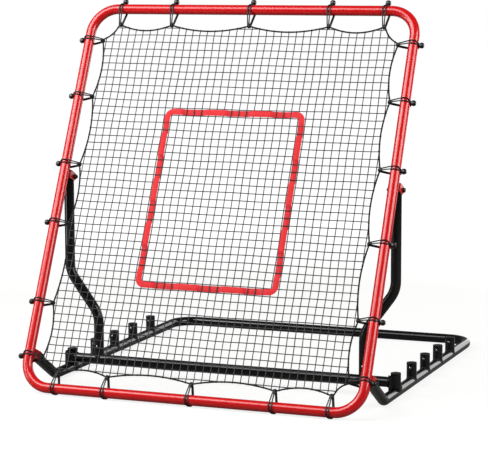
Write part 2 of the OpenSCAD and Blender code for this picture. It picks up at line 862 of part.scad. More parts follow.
peg_button(-1, 2);  // peg_button_left_3
peg_button(-1, 3);  // peg_button_left_4
peg_button(-1, 4);  // peg_button_left_5
peg_button(1, 0);  // peg_button_right_1
peg_button(1, 1);  // peg_button_right_2
peg_button(1, 2);  // peg_button_right_3
peg_button(1, 3);  // peg_button_right_4
peg_button(1, 4);  // peg_button_right_5
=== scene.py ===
"""Pitching target net: finishes, netting, cords, welds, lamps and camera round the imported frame.

Sizes are in millimetres in the sub-assembly classes and become metres where a mesh is made.
"""
from __future__ import annotations

import logging
import math
import random
from dataclasses import dataclass
from enum import Enum
from typing import Callable, Iterable, Sequence

import bpy
import numpy as np
from mathutils import Matrix, Vector


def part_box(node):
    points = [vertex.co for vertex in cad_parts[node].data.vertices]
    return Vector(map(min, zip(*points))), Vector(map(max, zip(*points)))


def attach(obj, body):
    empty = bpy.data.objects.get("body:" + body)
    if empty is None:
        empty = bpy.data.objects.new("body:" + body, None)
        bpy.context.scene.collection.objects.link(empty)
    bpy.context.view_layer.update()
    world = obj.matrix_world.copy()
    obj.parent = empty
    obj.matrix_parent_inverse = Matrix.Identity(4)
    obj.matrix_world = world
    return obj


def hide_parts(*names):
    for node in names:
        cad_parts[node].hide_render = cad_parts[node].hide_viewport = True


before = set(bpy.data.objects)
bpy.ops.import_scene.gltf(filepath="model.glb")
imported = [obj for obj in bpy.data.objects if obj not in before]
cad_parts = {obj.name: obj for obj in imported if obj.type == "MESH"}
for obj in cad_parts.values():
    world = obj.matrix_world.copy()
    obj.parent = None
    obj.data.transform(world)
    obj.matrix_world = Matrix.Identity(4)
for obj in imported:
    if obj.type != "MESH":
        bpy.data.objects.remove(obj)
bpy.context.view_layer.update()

LOG = logging.getLogger("target_net")
MM = 0.001
PER_METRE = 1000

# Node and socket types that come up often, and the sockets that share a name with others.
MATH = "ShaderNodeMath"
NOISE = "ShaderNodeTexNoise"
CIRCLE = "GeometryNodeCurvePrimitiveCircle"
TUBE = "GeometryNodeCurveToMesh"
ATTRIBUTE = "GeometryNodeInputNamedAttribute"
PLACE = "GeometryNodeInstanceOnPoints"
SIZE = "NodeSocketFloat"
MATERIAL = "NodeSocketMaterial"
MIX_FIRST, MIX_SECOND, MIX_RESULT = 6, 7, 2
COMPARE_FIRST, COMPARE_SECOND = 2, 3


# ---- colours and nodes ----


def linear(colour: str) -> tuple[float, float, float, float]:
    """Turns an sRGB hex colour into linear values, by the curve of that standard.

    Args:
        colour: six hex digits after a hash.

    Returns:
        Linear red, green, blue and an alpha of one.
    """
    values = [int(colour[i : i + 2], 16) / 255 for i in (1, 3, 5)]
    red, green, blue = (v / 12.92 if v <= 0.04045 else ((v + 0.055) / 1.055) ** 2.4
                        for v in values)
    return red, green, blue, 1.0


def add(tree: bpy.types.NodeTree, kind: str, links: dict | Sequence = (),
        **settings: object) -> bpy.types.Node:
    """Adds a node to a tree, with its settings, values and links.

    Args:
        tree: the shader or geometry tree.
        kind: the node's type name.
        links: for each input, in order or by name, a value, an output that feeds it, or a node
            whose first output does.
        **settings: the node's own properties.

    Returns:
        The new node.
    """
    node = tree.nodes.new(kind)
    for name, value in settings.items():
        setattr(node, name, value)
    for name, value in links.items() if isinstance(links, dict) else enumerate(links):
        source = value.outputs[0] if isinstance(value, bpy.types.Node) else value
        if isinstance(source, bpy.types.NodeSocket):
            tree.links.new(source, node.inputs[name])
        else:
            node.inputs[name].default_value = source
    return node


class Pattern(Enum):
    """The surfaces that the finishes draw, by the name of the Surface method that draws each."""

    GRAINED = "grained"
    PLATED = "plated"
    BRAIDED = "braided"
    TWISTED = "twisted"
    WOVEN = "woven"


@dataclass(frozen=True)
class Surface:
    """Draws a pattern in a material's tree, with its grain in millimetres.

    Each pattern gives its height and the share of the finish's second colour.
    """

    tree: bpy.types.NodeTree
    place: bpy.types.NodeOutputs
    grain_mm: float
    rub_grains: float = 8.0
    rub_from: float = 0.56
    rub_to: float = 0.7
    streak_share: float = 0.5
    yarn_turns: float = 4.0
    tracer_turns: float = 0.5
    tracer_from: float = 0.8

    def grained(self) -> tuple:
        """Fine rounded grain, as powder coat and moulded plastic have, with faint rub marks.

        Returns:
            The height and the share.
        """
        grain = add(self.tree, NOISE, {"Vector": self.place["Object"], "Detail": 2.0,
                                       "Scale": PER_METRE / self.grain_mm})
        rub = add(self.tree, NOISE, {"Vector": self.place["Object"], "Detail": 6.0,
                                     "Scale": PER_METRE / (self.rub_grains * self.grain_mm),
                                     "Roughness": 0.7})
        marks = add(self.tree, "ShaderNodeMapRange", {"Value": rub, "From Min": self.rub_from,
                                                      "From Max": self.rub_to})
        return grain, marks

    def plated(self) -> tuple:
        """Fine streaks under bright metal.

        Returns:
            The height and the share.
        """
        streaks = add(self.tree, NOISE, {"Vector": self.place["Object"], "Detail": 4.0,
                                         "Scale": PER_METRE / self.grain_mm, "Distortion": 1.5})
        return streaks, add(self.tree, MATH, (streaks, self.streak_share), operation="MULTIPLY")

    def braided(self) -> tuple:
        """Two sets of yarns that cross round a sheath, with a few paler tracer yarns.

        Returns:
            The height and the share.
        """
        tree = self.tree
        uv = add(tree, "ShaderNodeSeparateXYZ", {"Vector": self.place["UV"]}).outputs
        along = add(tree, MATH, (uv["X"], math.tau * PER_METRE / self.grain_mm),
                    operation="MULTIPLY")
        turn = add(tree, MATH, (uv["Y"], math.tau), operation="MULTIPLY")
        turns = add(tree, MATH, (turn, self.yarn_turns), operation="MULTIPLY")
        left, right = (add(tree, MATH, (add(tree, MATH, (along, turns), operation=way),),
                           operation="SINE") for way in ("ADD", "SUBTRACT"))
        crossed = add(tree, MATH, (left, right), operation="MULTIPLY")
        height = add(tree, MATH, (crossed,), operation="ABSOLUTE")
        slow = add(tree, MATH, (along, self.tracer_turns, turn), operation="MULTIPLY_ADD")
        tracer = add(tree, MATH, (slow,), operation="SINE")
        fleck = add(tree, MATH, (tracer, self.tracer_from), operation="GREATER_THAN")
        return height, add(tree, MATH, (fleck, height), operation="MULTIPLY")

    def twisted(self) -> tuple:
        """Mottled twine, too thin for its plies to show.

        Returns:
            The height and the share.
        """
        ply = add(self.tree, NOISE, {"Vector": self.place["Object"], "Detail": 2.0,
                                     "Scale": PER_METRE / self.grain_mm})
        return ply, ply

    def woven(self) -> tuple:
        """Plain weave: warp ribs along the tape that weft threads cross.

        Returns:
            The height and the share.
        """
        tree, step = self.tree, math.pi * PER_METRE / self.grain_mm
        uv = add(tree, "ShaderNodeSeparateXYZ", {"Vector": self.place["UV"]}).outputs
        warp, weft = (add(tree, MATH, (add(tree, MATH, (uv[axis], step), operation="MULTIPLY"),),
                          operation="SINE") for axis in ("Y", "X"))
        crossed = add(tree, MATH, (warp, weft), operation="MULTIPLY")
        height = add(tree, MATH, (crossed, 0.5, 0.5), operation="MULTIPLY_ADD")
        return height, add(tree, MATH, (1.0, height), operation="SUBTRACT")


@dataclass(frozen=True)
class Finish:
    """One material: what it is made of and what the eye sees of its surface."""

    name: str
    pattern: Pattern
    colour: str
    shade: str
    roughness: float
    swing: float = 0.05
    metallic: float = 0.0
    specular: float = 0.5
    coat: float = 0.0
    coat_roughness: float = 0.1
    sheen: float = 0.0
    sheen_roughness: float = 0.4
    grain_mm: float = 1.5
    relief_mm: float = 0.05
    patch_mm: float = 60.0
    patch_detail: float = 3.0
    patch_share: float = 0.3
    slot: str = ""

    def build(self) -> bpy.types.Material:
        """Builds the material's nodes.

        Returns:
            The material, ready for a mesh's slot.
        """
        material = bpy.data.materials.new(self.name)
        material.use_nodes = True
        tree = material.node_tree
        tree.nodes.clear()
        place = add(tree, "ShaderNodeTexCoord").outputs
        height, mix = getattr(Surface(tree, place, self.grain_mm), self.pattern.value)()
        patch = add(tree, NOISE, {"Vector": place["Object"], "Scale": PER_METRE / self.patch_mm,
                                  "Detail": self.patch_detail})
        share = add(tree, MATH, (patch, self.patch_share), operation="MULTIPLY")
        blend = add(tree, MATH, (mix, 1 - self.patch_share, share), operation="MULTIPLY_ADD")
        colour = add(tree, "ShaderNodeMix", {"Factor": blend, MIX_FIRST: linear(self.colour),
                                             MIX_SECOND: linear(self.shade)}, data_type="RGBA")
        uneven = add(tree, MATH, (patch, 0.5), operation="SUBTRACT")
        rough = add(tree, MATH, (uneven, 2 * self.swing, self.roughness),
                    operation="MULTIPLY_ADD")
        bump = add(tree, "ShaderNodeBump", {"Height": height, "Strength": 1.0,
                                            "Distance": self.relief_mm * MM})
        shader = add(tree, "ShaderNodeBsdfPrincipled", {
            "Base Color": colour.outputs[MIX_RESULT], "Roughness": rough, "Normal": bump,
            "Metallic": self.metallic, "Specular IOR Level": self.specular,
            "Coat Weight": self.coat, "Coat Roughness": self.coat_roughness,
            "Sheen Weight": self.sheen, "Sheen Roughness": self.sheen_roughness})
        add(tree, "ShaderNodeOutputMaterial", {"Surface": shader})
        return material


# Powder-coated steel in a glossy red: even colour, with soft bright bands along the tubes.
RED_ENAMEL = Finish("gloss_red_powder_coat", Pattern.GRAINED, "#e4040c", "#d4040b", 0.28, 0.03,
                    specular=0.3, coat=0.9, coat_roughness=0.14, grain_mm=1.6, relief_mm=0.006,
                    slot="red_enamel")
# The same coat in black: near black, with narrow pale glints.
BLACK_ENAMEL = Finish("semi_gloss_black_powder_coat", Pattern.GRAINED, "#040405", "#0a0b0c", 0.24,
                      0.05, specular=0.15, coat=0.8, coat_roughness=0.1, grain_mm=1.6,
                      relief_mm=0.01, slot="black_enamel")
# Blackened steel bolts: dark with a dull metal sheen.
BLACK_OXIDE = Finish("black_oxide_steel", Pattern.GRAINED, "#3a3a3d", "#29292b", 0.42, 0.08,
                     metallic=0.85, grain_mm=0.8, relief_mm=0.01, patch_mm=12,
                     slot="black_oxide")
# Zinc-plated steel: bright, with small soft streaks.
ZINC_STEEL = Finish("bright_zinc_plated_steel", Pattern.PLATED, "#d4d6da", "#b3b6bc", 0.24, 0.06,
                    metallic=1.0, grain_mm=0.7, relief_mm=0.01, patch_mm=9, slot="zinc_steel")
# Rolled spring strip: grey with a satin sheen.
SPRING_STEEL = Finish("rolled_spring_steel", Pattern.PLATED, "#8f9196", "#77797e", 0.36, 0.05,
                      metallic=1.0, grain_mm=0.9, relief_mm=0.01, patch_mm=15,
                      slot="spring_steel")
# Moulded polyethylene: satin black with a fine spark-eroded grain.
CAP_PLASTIC = Finish("moulded_black_polyethylene", Pattern.GRAINED, "#1d1d20", "#2a2a2e", 0.46,
                     0.06, grain_mm=0.7, relief_mm=0.03, patch_mm=14, slot="cap_plastic")
# Moulded nylon balls: darker and smoother than the caps.
BALL_PLASTIC = Finish("moulded_black_nylon", Pattern.GRAINED, "#09090b", "#131317", 0.26, 0.05,
                      specular=0.3, coat=0.4, grain_mm=0.9, relief_mm=0.02, patch_mm=10,
                      slot="ball_plastic")
# Twisted polyethylene twine: dark grey, matt, slightly uneven.
NET_TWINE = Finish("twisted_polyethylene_twine", Pattern.TWISTED, "#38393d", "#26272b", 0.6, 0.08,
                   sheen=0.1, grain_mm=1.8, relief_mm=0.12, patch_mm=45, slot="net_cord")
# Braided polyester rope: black with fine diamonds, drawn at twice their size so that they show.
EDGE_ROPE = Finish("braided_black_polyester", Pattern.BRAIDED, "#060607", "#121316", 0.5, 0.06,
                   specular=0.25, sheen=0.03, grain_mm=3.4, relief_mm=0.25, patch_mm=30,
                   slot="edge_cord")
# Braided shock cord: black sheath with a sheen and grey tracer yarns.
SHOCK_CORD = Finish("braided_shock_cord", Pattern.BRAIDED, "#08080a", "#4a4c52", 0.3, 0.05,
                    specular=0.25, coat=0.4, grain_mm=3.0, relief_mm=0.2, patch_mm=20,
                    slot="bungee_cord")
# Woven polyester webbing: saturated red with a faint rib, matt.
WEBBING = Finish("woven_red_polyester_webbing", Pattern.WOVEN, "#f8202a", "#e5151f", 0.68, 0.05,
                 sheen=0.1, grain_mm=1.2, relief_mm=0.12, patch_mm=80, slot="strike_webbing")
# Powder coat over weld beads: a little rougher and more uneven than on the tubes.
RED_WELD = Finish("gloss_red_powder_coat_on_weld", Pattern.GRAINED, "#cf0c15", "#b90a12", 0.3,
                  0.04, coat=0.3, coat_roughness=0.2, grain_mm=1.2, relief_mm=0.05,
                  slot="red_enamel")
BLACK_WELD = Finish("semi_gloss_black_powder_coat_on_weld", Pattern.GRAINED, "#08080a", "#101113",
                    0.26, 0.04, specular=0.25, coat=0.7, coat_roughness=0.2, grain_mm=1.2,
                    relief_mm=0.05, slot="black_enamel")


class Palette:
    """Builds each finish once."""

    def __init__(self) -> None:
        """Starts with no material built."""
        self.made: dict[str, bpy.types.Material] = {}

    def get(self, finish: Finish) -> bpy.types.Material:
        """Gives a finish's material.

        Args:
            finish: the finish.

        Returns:
            Its material, which is built the first time.
        """
        if finish.name not in self.made:
            self.made[finish.name] = finish.build()
        return self.made[finish.name]


PALETTE = Palette()


# ---- meshes ----


def box_mm(node: str) -> tuple[np.ndarray, np.ndarray]:
    """A CAD node's lowest and highest corners, in millimetres."""
    low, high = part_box(node)
    return np.array(low) / MM, np.array(high) / MM


def unit(vectors: np.ndarray) -> np.ndarray:
    """Scales each vector to a length of one."""
    return vectors / np.maximum(np.linalg.norm(vectors, axis=-1, keepdims=True), 1e-12)


def turned(vector: np.ndarray, axis: np.ndarray, angle: float) -> np.ndarray:
    """Turns a vector about a unit axis that it is square to."""
    return vector * math.cos(angle) + np.cross(axis, vector) * math.sin(angle)


def circle(radius: float, sides: int) -> np.ndarray:
    """A round profile with that many corners."""
    angles = np.arange(sides) * math.tau / sides
    return np.stack([radius * np.cos(angles), radius * np.sin(angles)], 1)


def resampled(path: np.ndarray, step: float) -> np.ndarray:
    """Puts points along a closed path at an even spacing.

    Args:
        path: its corner points.
        step: the spacing to come close to.

    Returns:
        The new points.
    """
    points = np.vstack([path, path[:1]])
    steps = np.linalg.norm(np.diff(points, axis=0), axis=1)
    lengths = np.concatenate([[0], np.cumsum(steps)])
    where = np.linspace(0, lengths[-1], max(3, round(lengths[-1] / step)) + 1)[:-1]
    return np.stack([np.interp(where, lengths, column) for column in points.T], 1)


def smoothed(path: np.ndarray, rounds: int) -> np.ndarray:
    """Softens a closed path's corners by averaging each point with its neighbours.

    Args:
        path: its points.
        rounds: how many times.

    Returns:
        The softer path.
    """
    for _ in range(rounds):
        path = path / 2 + (np.roll(path, 1, 0) + np.roll(path, -1, 0)) / 4
    return path


class Shell:
    """Gathers swept and lathed surfaces, in millimetres, into one mesh."""

    def __init__(self) -> None:
        """Starts empty."""
        self.points: list[np.ndarray] = []
        self.faces: list[tuple[int, ...]] = []
        self.uvs: list[tuple[float, float]] = []
        self.count = 0

    def sweep(self, path: np.ndarray, profile: np.ndarray, closed: bool = False,
              ups: np.ndarray | None = None) -> None:
        """Carries a profile along a path.

        Args:
            path: points along the middle, one row each.
            profile: corners of the section, counter-clockwise.
            closed: whether the path's end meets its start.
            ups: the section's second axis at each point, or none to carry it without twist.
        """
        rings, sides = len(path), len(profile)
        if closed:
            along = unit(np.roll(path, -1, 0) - np.roll(path, 1, 0))
        else:
            along = unit(np.gradient(path, axis=0))
        across = self.carried(along, closed) if ups is None else unit(np.cross(ups, along))
        up = np.cross(along, across)
        ring = path[:, None] + (across[:, None] * profile[None, :, :1]
                                + up[:, None] * profile[None, :, 1:])
        base = self.count
        self.points.append(ring.reshape(-1, 3))
        self.count += rings * sides
        step = np.linalg.norm(np.diff(path, axis=0, append=path[:1]), axis=1)
        length = np.concatenate([[0], np.cumsum(step)]) * MM
        outline = np.linalg.norm(np.diff(profile, axis=0, append=profile[:1]), axis=1)
        share = np.concatenate([[0], np.cumsum(outline)])
        share = share / share[-1] if ups is None else share * MM
        for i in range(rings if closed else rings - 1):
            here, there = base + i * sides, base + (i + 1) % rings * sides
            for k in range(sides):
                n = (k + 1) % sides
                self.faces.append((here + k, here + n, there + n, there + k))
                self.uvs += [(length[i], share[k]), (length[i], share[k + 1]),
                             (length[i + 1], share[k + 1]), (length[i + 1], share[k])]
        if not closed:
            for i, order in ((0, range(sides - 1, -1, -1)), (rings - 1, range(sides))):
                self.faces.append(tuple(base + i * sides + k for k in order))
                self.uvs += [(length[i], share[k]) for k in order]

    @staticmethod
    def carried(along: np.ndarray, closed: bool) -> np.ndarray:
        """Carries an axis along a path without twist, and closes it evenly.

        Args:
            along: the path's unit direction at each point.
            closed: whether the path's end meets its start.

        Returns:
            A unit axis square to the path at each point.
        """
        steep = abs(along[0][2]) >= 0.9
        axes = [unit(np.cross(along[0], [1.0, 0.0, 0.0] if steep else [0.0, 0.0, 1.0]))]
        for way in along[1:]:
            axes.append(unit(axes[-1] - way * float(axes[-1] @ way)))
        if closed:
            last = unit(axes[-1] - along[0] * float(axes[-1] @ along[0]))
            gap = math.atan2(float(np.cross(last, axes[0]) @ along[0]), float(last @ axes[0]))
            axes = [turned(a, w, gap * i / len(axes)) for i, (a, w) in enumerate(zip(axes, along))]
        return np.array(axes)

    def lathe(self, profile: Sequence[tuple[float, float]],
              place: Callable[[np.ndarray], np.ndarray], sides: int) -> None:
        """Turns a profile of (radius, height) from its lowest pole to its highest one.

        Args:
            profile: the lower pole, points whose radius isn't zero, and the upper pole.
            place: moves rows of local points to where the piece is.
            sides: corners round the axis.
        """
        base = self.count
        body = profile[1:-1]
        rows = [np.array([[0.0, 0.0, profile[0][1]]])]
        rows += [np.column_stack([circle(r, sides), np.full(sides, z)]) for r, z in body]
        rows.append(np.array([[0.0, 0.0, profile[-1][1]]]))
        points = place(np.vstack(rows))
        self.points.append(points)
        self.count += len(points)
        top = base + 1 + len(body) * sides
        for k in range(sides):
            n = (k + 1) % sides
            self.faces.append((base, base + 1 + n, base + 1 + k))
            self.faces.append((top, top - sides + k, top - sides + n))
            self.uvs += [(0.0, 0.0)] * 6
            for i in range(len(body) - 1):
                a = base + 1 + i * sides
                self.faces.append((a + k, a + n, a + sides + n, a + sides + k))
                self.uvs += [(k / sides, 0.0), (n / sides, 0.0), (n / sides, 1.0),
                             (k / sides, 1.0)]

    def build(self, name: str, finish: Finish) -> bpy.types.Object:
        """Makes the object, smooth, at the origin and in metres.

        Args:
            name: the piece's name.
            finish: its finish.

        Returns:
            The piece.
        """
        mesh = bpy.data.meshes.new(name)
        mesh.from_pydata((np.vstack(self.points) * MM).tolist(), [], self.faces)
        layer = mesh.uv_layers.new(name="UVMap")
        layer.data.foreach_set("uv", np.array(self.uvs, dtype=float).ravel())
        mesh.polygons.foreach_set("use_smooth", [True] * len(mesh.polygons))
        mesh.materials.append(PALETTE.get(finish))
        mesh.validate()
        piece = bpy.data.objects.new(name, mesh)
        bpy.context.scene.collection.objects.link(piece)
        return piece


# ---- geometry node trees ----


def new_tree(name: str, inputs: dict[str, str]) -> bpy.types.NodeTree:
    """Starts a geometry tree with a mesh in, a mesh out and named inputs.

    Args:
        name: the tree's name.
        inputs: input name to socket type.

    Returns:
        The tree.
    """
    tree = bpy.data.node_groups.new(name, "GeometryNodeTree")
    for way in ("INPUT", "OUTPUT"):
        tree.interface.new_socket("Geometry", in_out=way, socket_type="NodeSocketGeometry")
    for label, kind in inputs.items():
        tree.interface.new_socket(label, in_out="INPUT", socket_type=kind)
    return tree


def finish_tree(tree: bpy.types.NodeTree, shape: bpy.types.Node,
                finish: bpy.types.NodeSocket) -> None:
    """Ends a geometry tree: instances become mesh, shade smoothly and take the material.

    Args:
        tree: the tree.
        shape: the node whose first output is the shape.
        finish: the input that holds the material.
    """
    real = add(tree, "GeometryNodeRealizeInstances", {"Geometry": shape})
    smooth = add(tree, "GeometryNodeSetShadeSmooth", {"Geometry": real})
    painted = add(tree, "GeometryNodeSetMaterial", {"Geometry": smooth, "Material": finish})
    add(tree, "NodeGroupOutput", {"Geometry": painted})


def grown(points: bpy.types.Mesh, tree: bpy.types.NodeTree, values: dict[str, object], name: str) -> bpy.types.Object:
    """Runs a geometry tree on a mesh of points or lines, and keeps the result as a plain mesh.

    Args:
        points: the mesh that the tree starts from, in metres.
        tree: the tree.
        values: input name to value.
        name: the piece's name.

    Returns:
        The piece, with no modifier left on it.
    """
    piece = bpy.data.objects.new(name, points)
    bpy.context.scene.collection.objects.link(piece)
    modifier = piece.modifiers.new(name, "NODES")
    modifier.node_group = tree
    keys = {item.name: item.identifier for item in tree.interface.items_tree
            if item.item_type == "SOCKET" and item.in_out == "INPUT"}
    for label, value in values.items():
        modifier[keys[label]] = value
    bpy.context.view_layer.update()
    seen = piece.evaluated_get(bpy.context.evaluated_depsgraph_get())
    mesh = bpy.data.meshes.new_from_object(seen)
    piece.modifiers.clear()
    piece.data = mesh
    bpy.data.meshes.remove(points)
    mesh.name = name
    return piece


class Mark(Enum):
    """What a point on a line of twine carries."""

    PLAIN = 0
    KNOT = 1
    HITCH = 2


def netting_tree(twine_sides: int = 6, ring_sides: int = 10, hitch_sides: int = 5,
                 knot_size: tuple[float, float, float] = (1.15, 0.72, 1.0)) -> bpy.types.NodeTree:
    """Twine along every line, with knots and with hitches round the edge rope.

    Args:
        twine_sides: corners of the twine's section.
        ring_sides: corners round a hitch.
        hitch_sides: corners of a hitch's section.
        knot_size: a knot's size along, through and across the net, in knot radii.

    Returns:
        The tree.
    """
    tree = new_tree("netting", {"Twine radius": SIZE, "Knot radius": SIZE, "Hitch radius": SIZE,
                                "Hitch twine": SIZE, "Twine": MATERIAL})
    source = add(tree, "NodeGroupInput").outputs
    lines = add(tree, "GeometryNodeMeshToCurve", {"Mesh": source["Geometry"]})
    section = add(tree, CIRCLE, {"Resolution": twine_sides, "Radius": source["Twine radius"]})
    twine = add(tree, TUBE, {"Curve": lines, "Profile Curve": section, "Fill Caps": True})
    points = add(tree, "GeometryNodeMeshToPoints", {"Mesh": source["Geometry"]})
    knot = add(tree, "GeometryNodeMeshIcoSphere", {"Radius": source["Knot radius"],
                                                   "Subdivisions": 1})
    ring = add(tree, CIRCLE, {"Resolution": ring_sides, "Radius": source["Hitch radius"]})
    wire = add(tree, CIRCLE, {"Resolution": hitch_sides, "Radius": source["Hitch twine"]})
    hitch = add(tree, TUBE, {"Curve": ring, "Profile Curve": wire})
    mark = add(tree, ATTRIBUTE, {"Name": "mark"}, data_type="INT")
    turn = add(tree, ATTRIBUTE, {"Name": "turn"}, data_type="FLOAT_VECTOR")
    euler = add(tree, "FunctionNodeEulerToRotation", (turn,))
    joined = add(tree, "GeometryNodeJoinGeometry")
    for kind, shape, size in ((Mark.HITCH, hitch, (1, 1, 1)), (Mark.KNOT, knot, knot_size)):
        chosen = add(tree, "FunctionNodeCompare", {COMPARE_FIRST: mark,
                                                   COMPARE_SECOND: kind.value},
                     data_type="INT", operation="EQUAL")
        placed = add(tree, PLACE, {"Points": points, "Selection": chosen, "Instance": shape,
                                   "Rotation": euler, "Scale": size})
        tree.links.new(placed.outputs["Instances"], joined.inputs["Geometry"])
    tree.links.new(twine.outputs["Mesh"], joined.inputs["Geometry"])
    finish_tree(tree, joined, source["Twine"])
    return tree


def bead_tree(sides: int = 10, ripple_height: float = 0.16) -> bpy.types.NodeTree:
    """A weld bead along every line, with even ripples.

    Args:
        sides: corners of the bead's section.
        ripple_height: how far a ripple stands out, in bead radii.

    Returns:
        The tree.
    """
    tree = new_tree("weld_bead", {"Bead radius": SIZE, "Ripple": SIZE, "Step": SIZE,
                                  "Coat": MATERIAL})
    source = add(tree, "NodeGroupInput").outputs
    lines = add(tree, "GeometryNodeMeshToCurve", {"Mesh": source["Geometry"]})
    even = add(tree, "GeometryNodeResampleCurve", {"Curve": lines, "Length": source["Step"]},
               mode="LENGTH")
    along = add(tree, "GeometryNodeSplineParameter").outputs["Length"]
    turns = add(tree, MATH, (along, math.tau), operation="MULTIPLY")
    phase = add(tree, MATH, (turns, source["Ripple"]), operation="DIVIDE")
    wave = add(tree, MATH, (phase,), operation="SINE")
    size = add(tree, MATH, (wave, ripple_height, 1.0), operation="MULTIPLY_ADD")
    section = add(tree, CIRCLE, {"Resolution": sides, "Radius": source["Bead radius"]})
    bead = add(tree, TUBE, {"Curve": even, "Profile Curve": section, "Scale": size,
                            "Fill Caps": True})
    finish_tree(tree, bead, source["Coat"])
    return tree


def scatter_tree() -> bpy.types.NodeTree:
    """One small piece at every point, turned as the point's turn attribute says.

    Returns:
        The tree.
    """
    tree = new_tree("repeated_piece", {"Piece": "NodeSocketObject", "Finish": MATERIAL})
    source = add(tree, "NodeGroupInput").outputs
    info = add(tree, "GeometryNodeObjectInfo", {"Object": source["Piece"]})
    turn = add(tree, ATTRIBUTE, {"Name": "turn"}, data_type="FLOAT_VECTOR")
    euler = add(tree, "FunctionNodeEulerToRotation", (turn,))
    placed = add(tree, PLACE, {"Points": source["Geometry"], "Rotation": euler,
                               "Instance": info.outputs["Geometry"]})
    finish_tree(tree, placed, source["Finish"])
    return tree


def line_mesh(name: str, lines: Sequence[np.ndarray]) -> bpy.types.Mesh:
    """Makes a mesh of open lines.

    Args:
        name: the mesh's name.
        lines: rows of points in metres, one array for each line.

    Returns:
        The mesh.
    """
    points, edges = [], []
    for line in lines:
        start = len(points)
        points += [tuple(p) for p in line]
        edges += [(start + i, start + i + 1) for i in range(len(line) - 1)]
    mesh = bpy.data.meshes.new(name)
    mesh.from_pydata(points, edges, [])
    return mesh


def set_turns(mesh: bpy.types.Mesh, turns: list[tuple[float, float, float]]) -> None:
    """Gives each point of a mesh its turn, as three Euler angles."""
    layer = mesh.attributes.new("turn", "FLOAT_VECTOR", "POINT")
    layer.data.foreach_set("vector", np.array(turns).ravel())


def turn_of(x_axis: Vector, z_axis: Vector) -> tuple[float, float, float]:
    """Euler angles that send local X and Z to the given square axes."""
    y_axis = z_axis.cross(x_axis)
    return tuple(Matrix((x_axis, y_axis, z_axis)).transposed().to_euler())


# ---- the leaning plane of the net ----


class Edge(Enum):
    """The four runs of frame tube that bungees go round."""

    LEFT = "left"
    RIGHT = "right"
    TOP = "top"
    BOTTOM = "bottom"


@dataclass(frozen=True)
class LeaningPlane:
    """The net frame's plane: x across, v up the slope and off behind it."""

    lean: float = 25.5
    lift: float = 20.6
    shift: float = 613.85
    side_x: float = 550
    top_v: float = 1275
    belly: float = 5
    half_net: tuple[float, float] = (500, 584)
    mid_v: float = 634

    def world(self, rows: np.ndarray) -> np.ndarray:
        """Moves points from the plane to the world.

        Args:
            rows: rows of (x, v, off).

        Returns:
            Rows of world millimetres.
        """
        sin, cos = math.sin(math.radians(self.lean)), math.cos(math.radians(self.lean))
        x, v, off = rows.T
        return np.stack([x, v * sin + off * cos - self.shift, self.lift + v * cos - off * sin], 1)

    def way(self, x: float, v: float, off: float) -> Vector:
        """A direction in the plane's axes, as a world vector."""
        here = self.world(np.array([[x, v, off], [0.0, 0.0, 0.0]]))
        return Vector(here[0] - here[1]).normalized()

    def sagging(self, flat: np.ndarray) -> np.ndarray:
        """How far the net hangs behind the plane under its own weight.

        Args:
            flat: rows of (x, v).

        Returns:
            The depth at each row.
        """
        across = np.clip(1 - (flat[:, 0] / self.half_net[0]) ** 2, 0, 1)
        up = np.clip(1 - ((flat[:, 1] - self.mid_v) / self.half_net[1]) ** 2, 0, 1)
        return self.belly * across * up

    def round_tube(self, edge: Edge, place: float, rows: np.ndarray) -> np.ndarray:
        """Moves points from a bungee's own axes to the plane's.

        Args:
            edge: the run of tube.
            place: how far along the run the bungee is.
            rows: points with X from the tube towards the net, Y behind and Z along the tube.

        Returns:
            Rows of (x, v, off).
        """
        x, y, z = rows.T
        return np.stack({
            Edge.LEFT: [x - self.side_x, place + z, y],
            Edge.RIGHT: [self.side_x - x, place + z, y],
            Edge.TOP: [place + z, self.top_v - x, y],
            Edge.BOTTOM: [place + z, x, y],
        }[edge], 1)


# ---- net, rope, tape and bungees ----


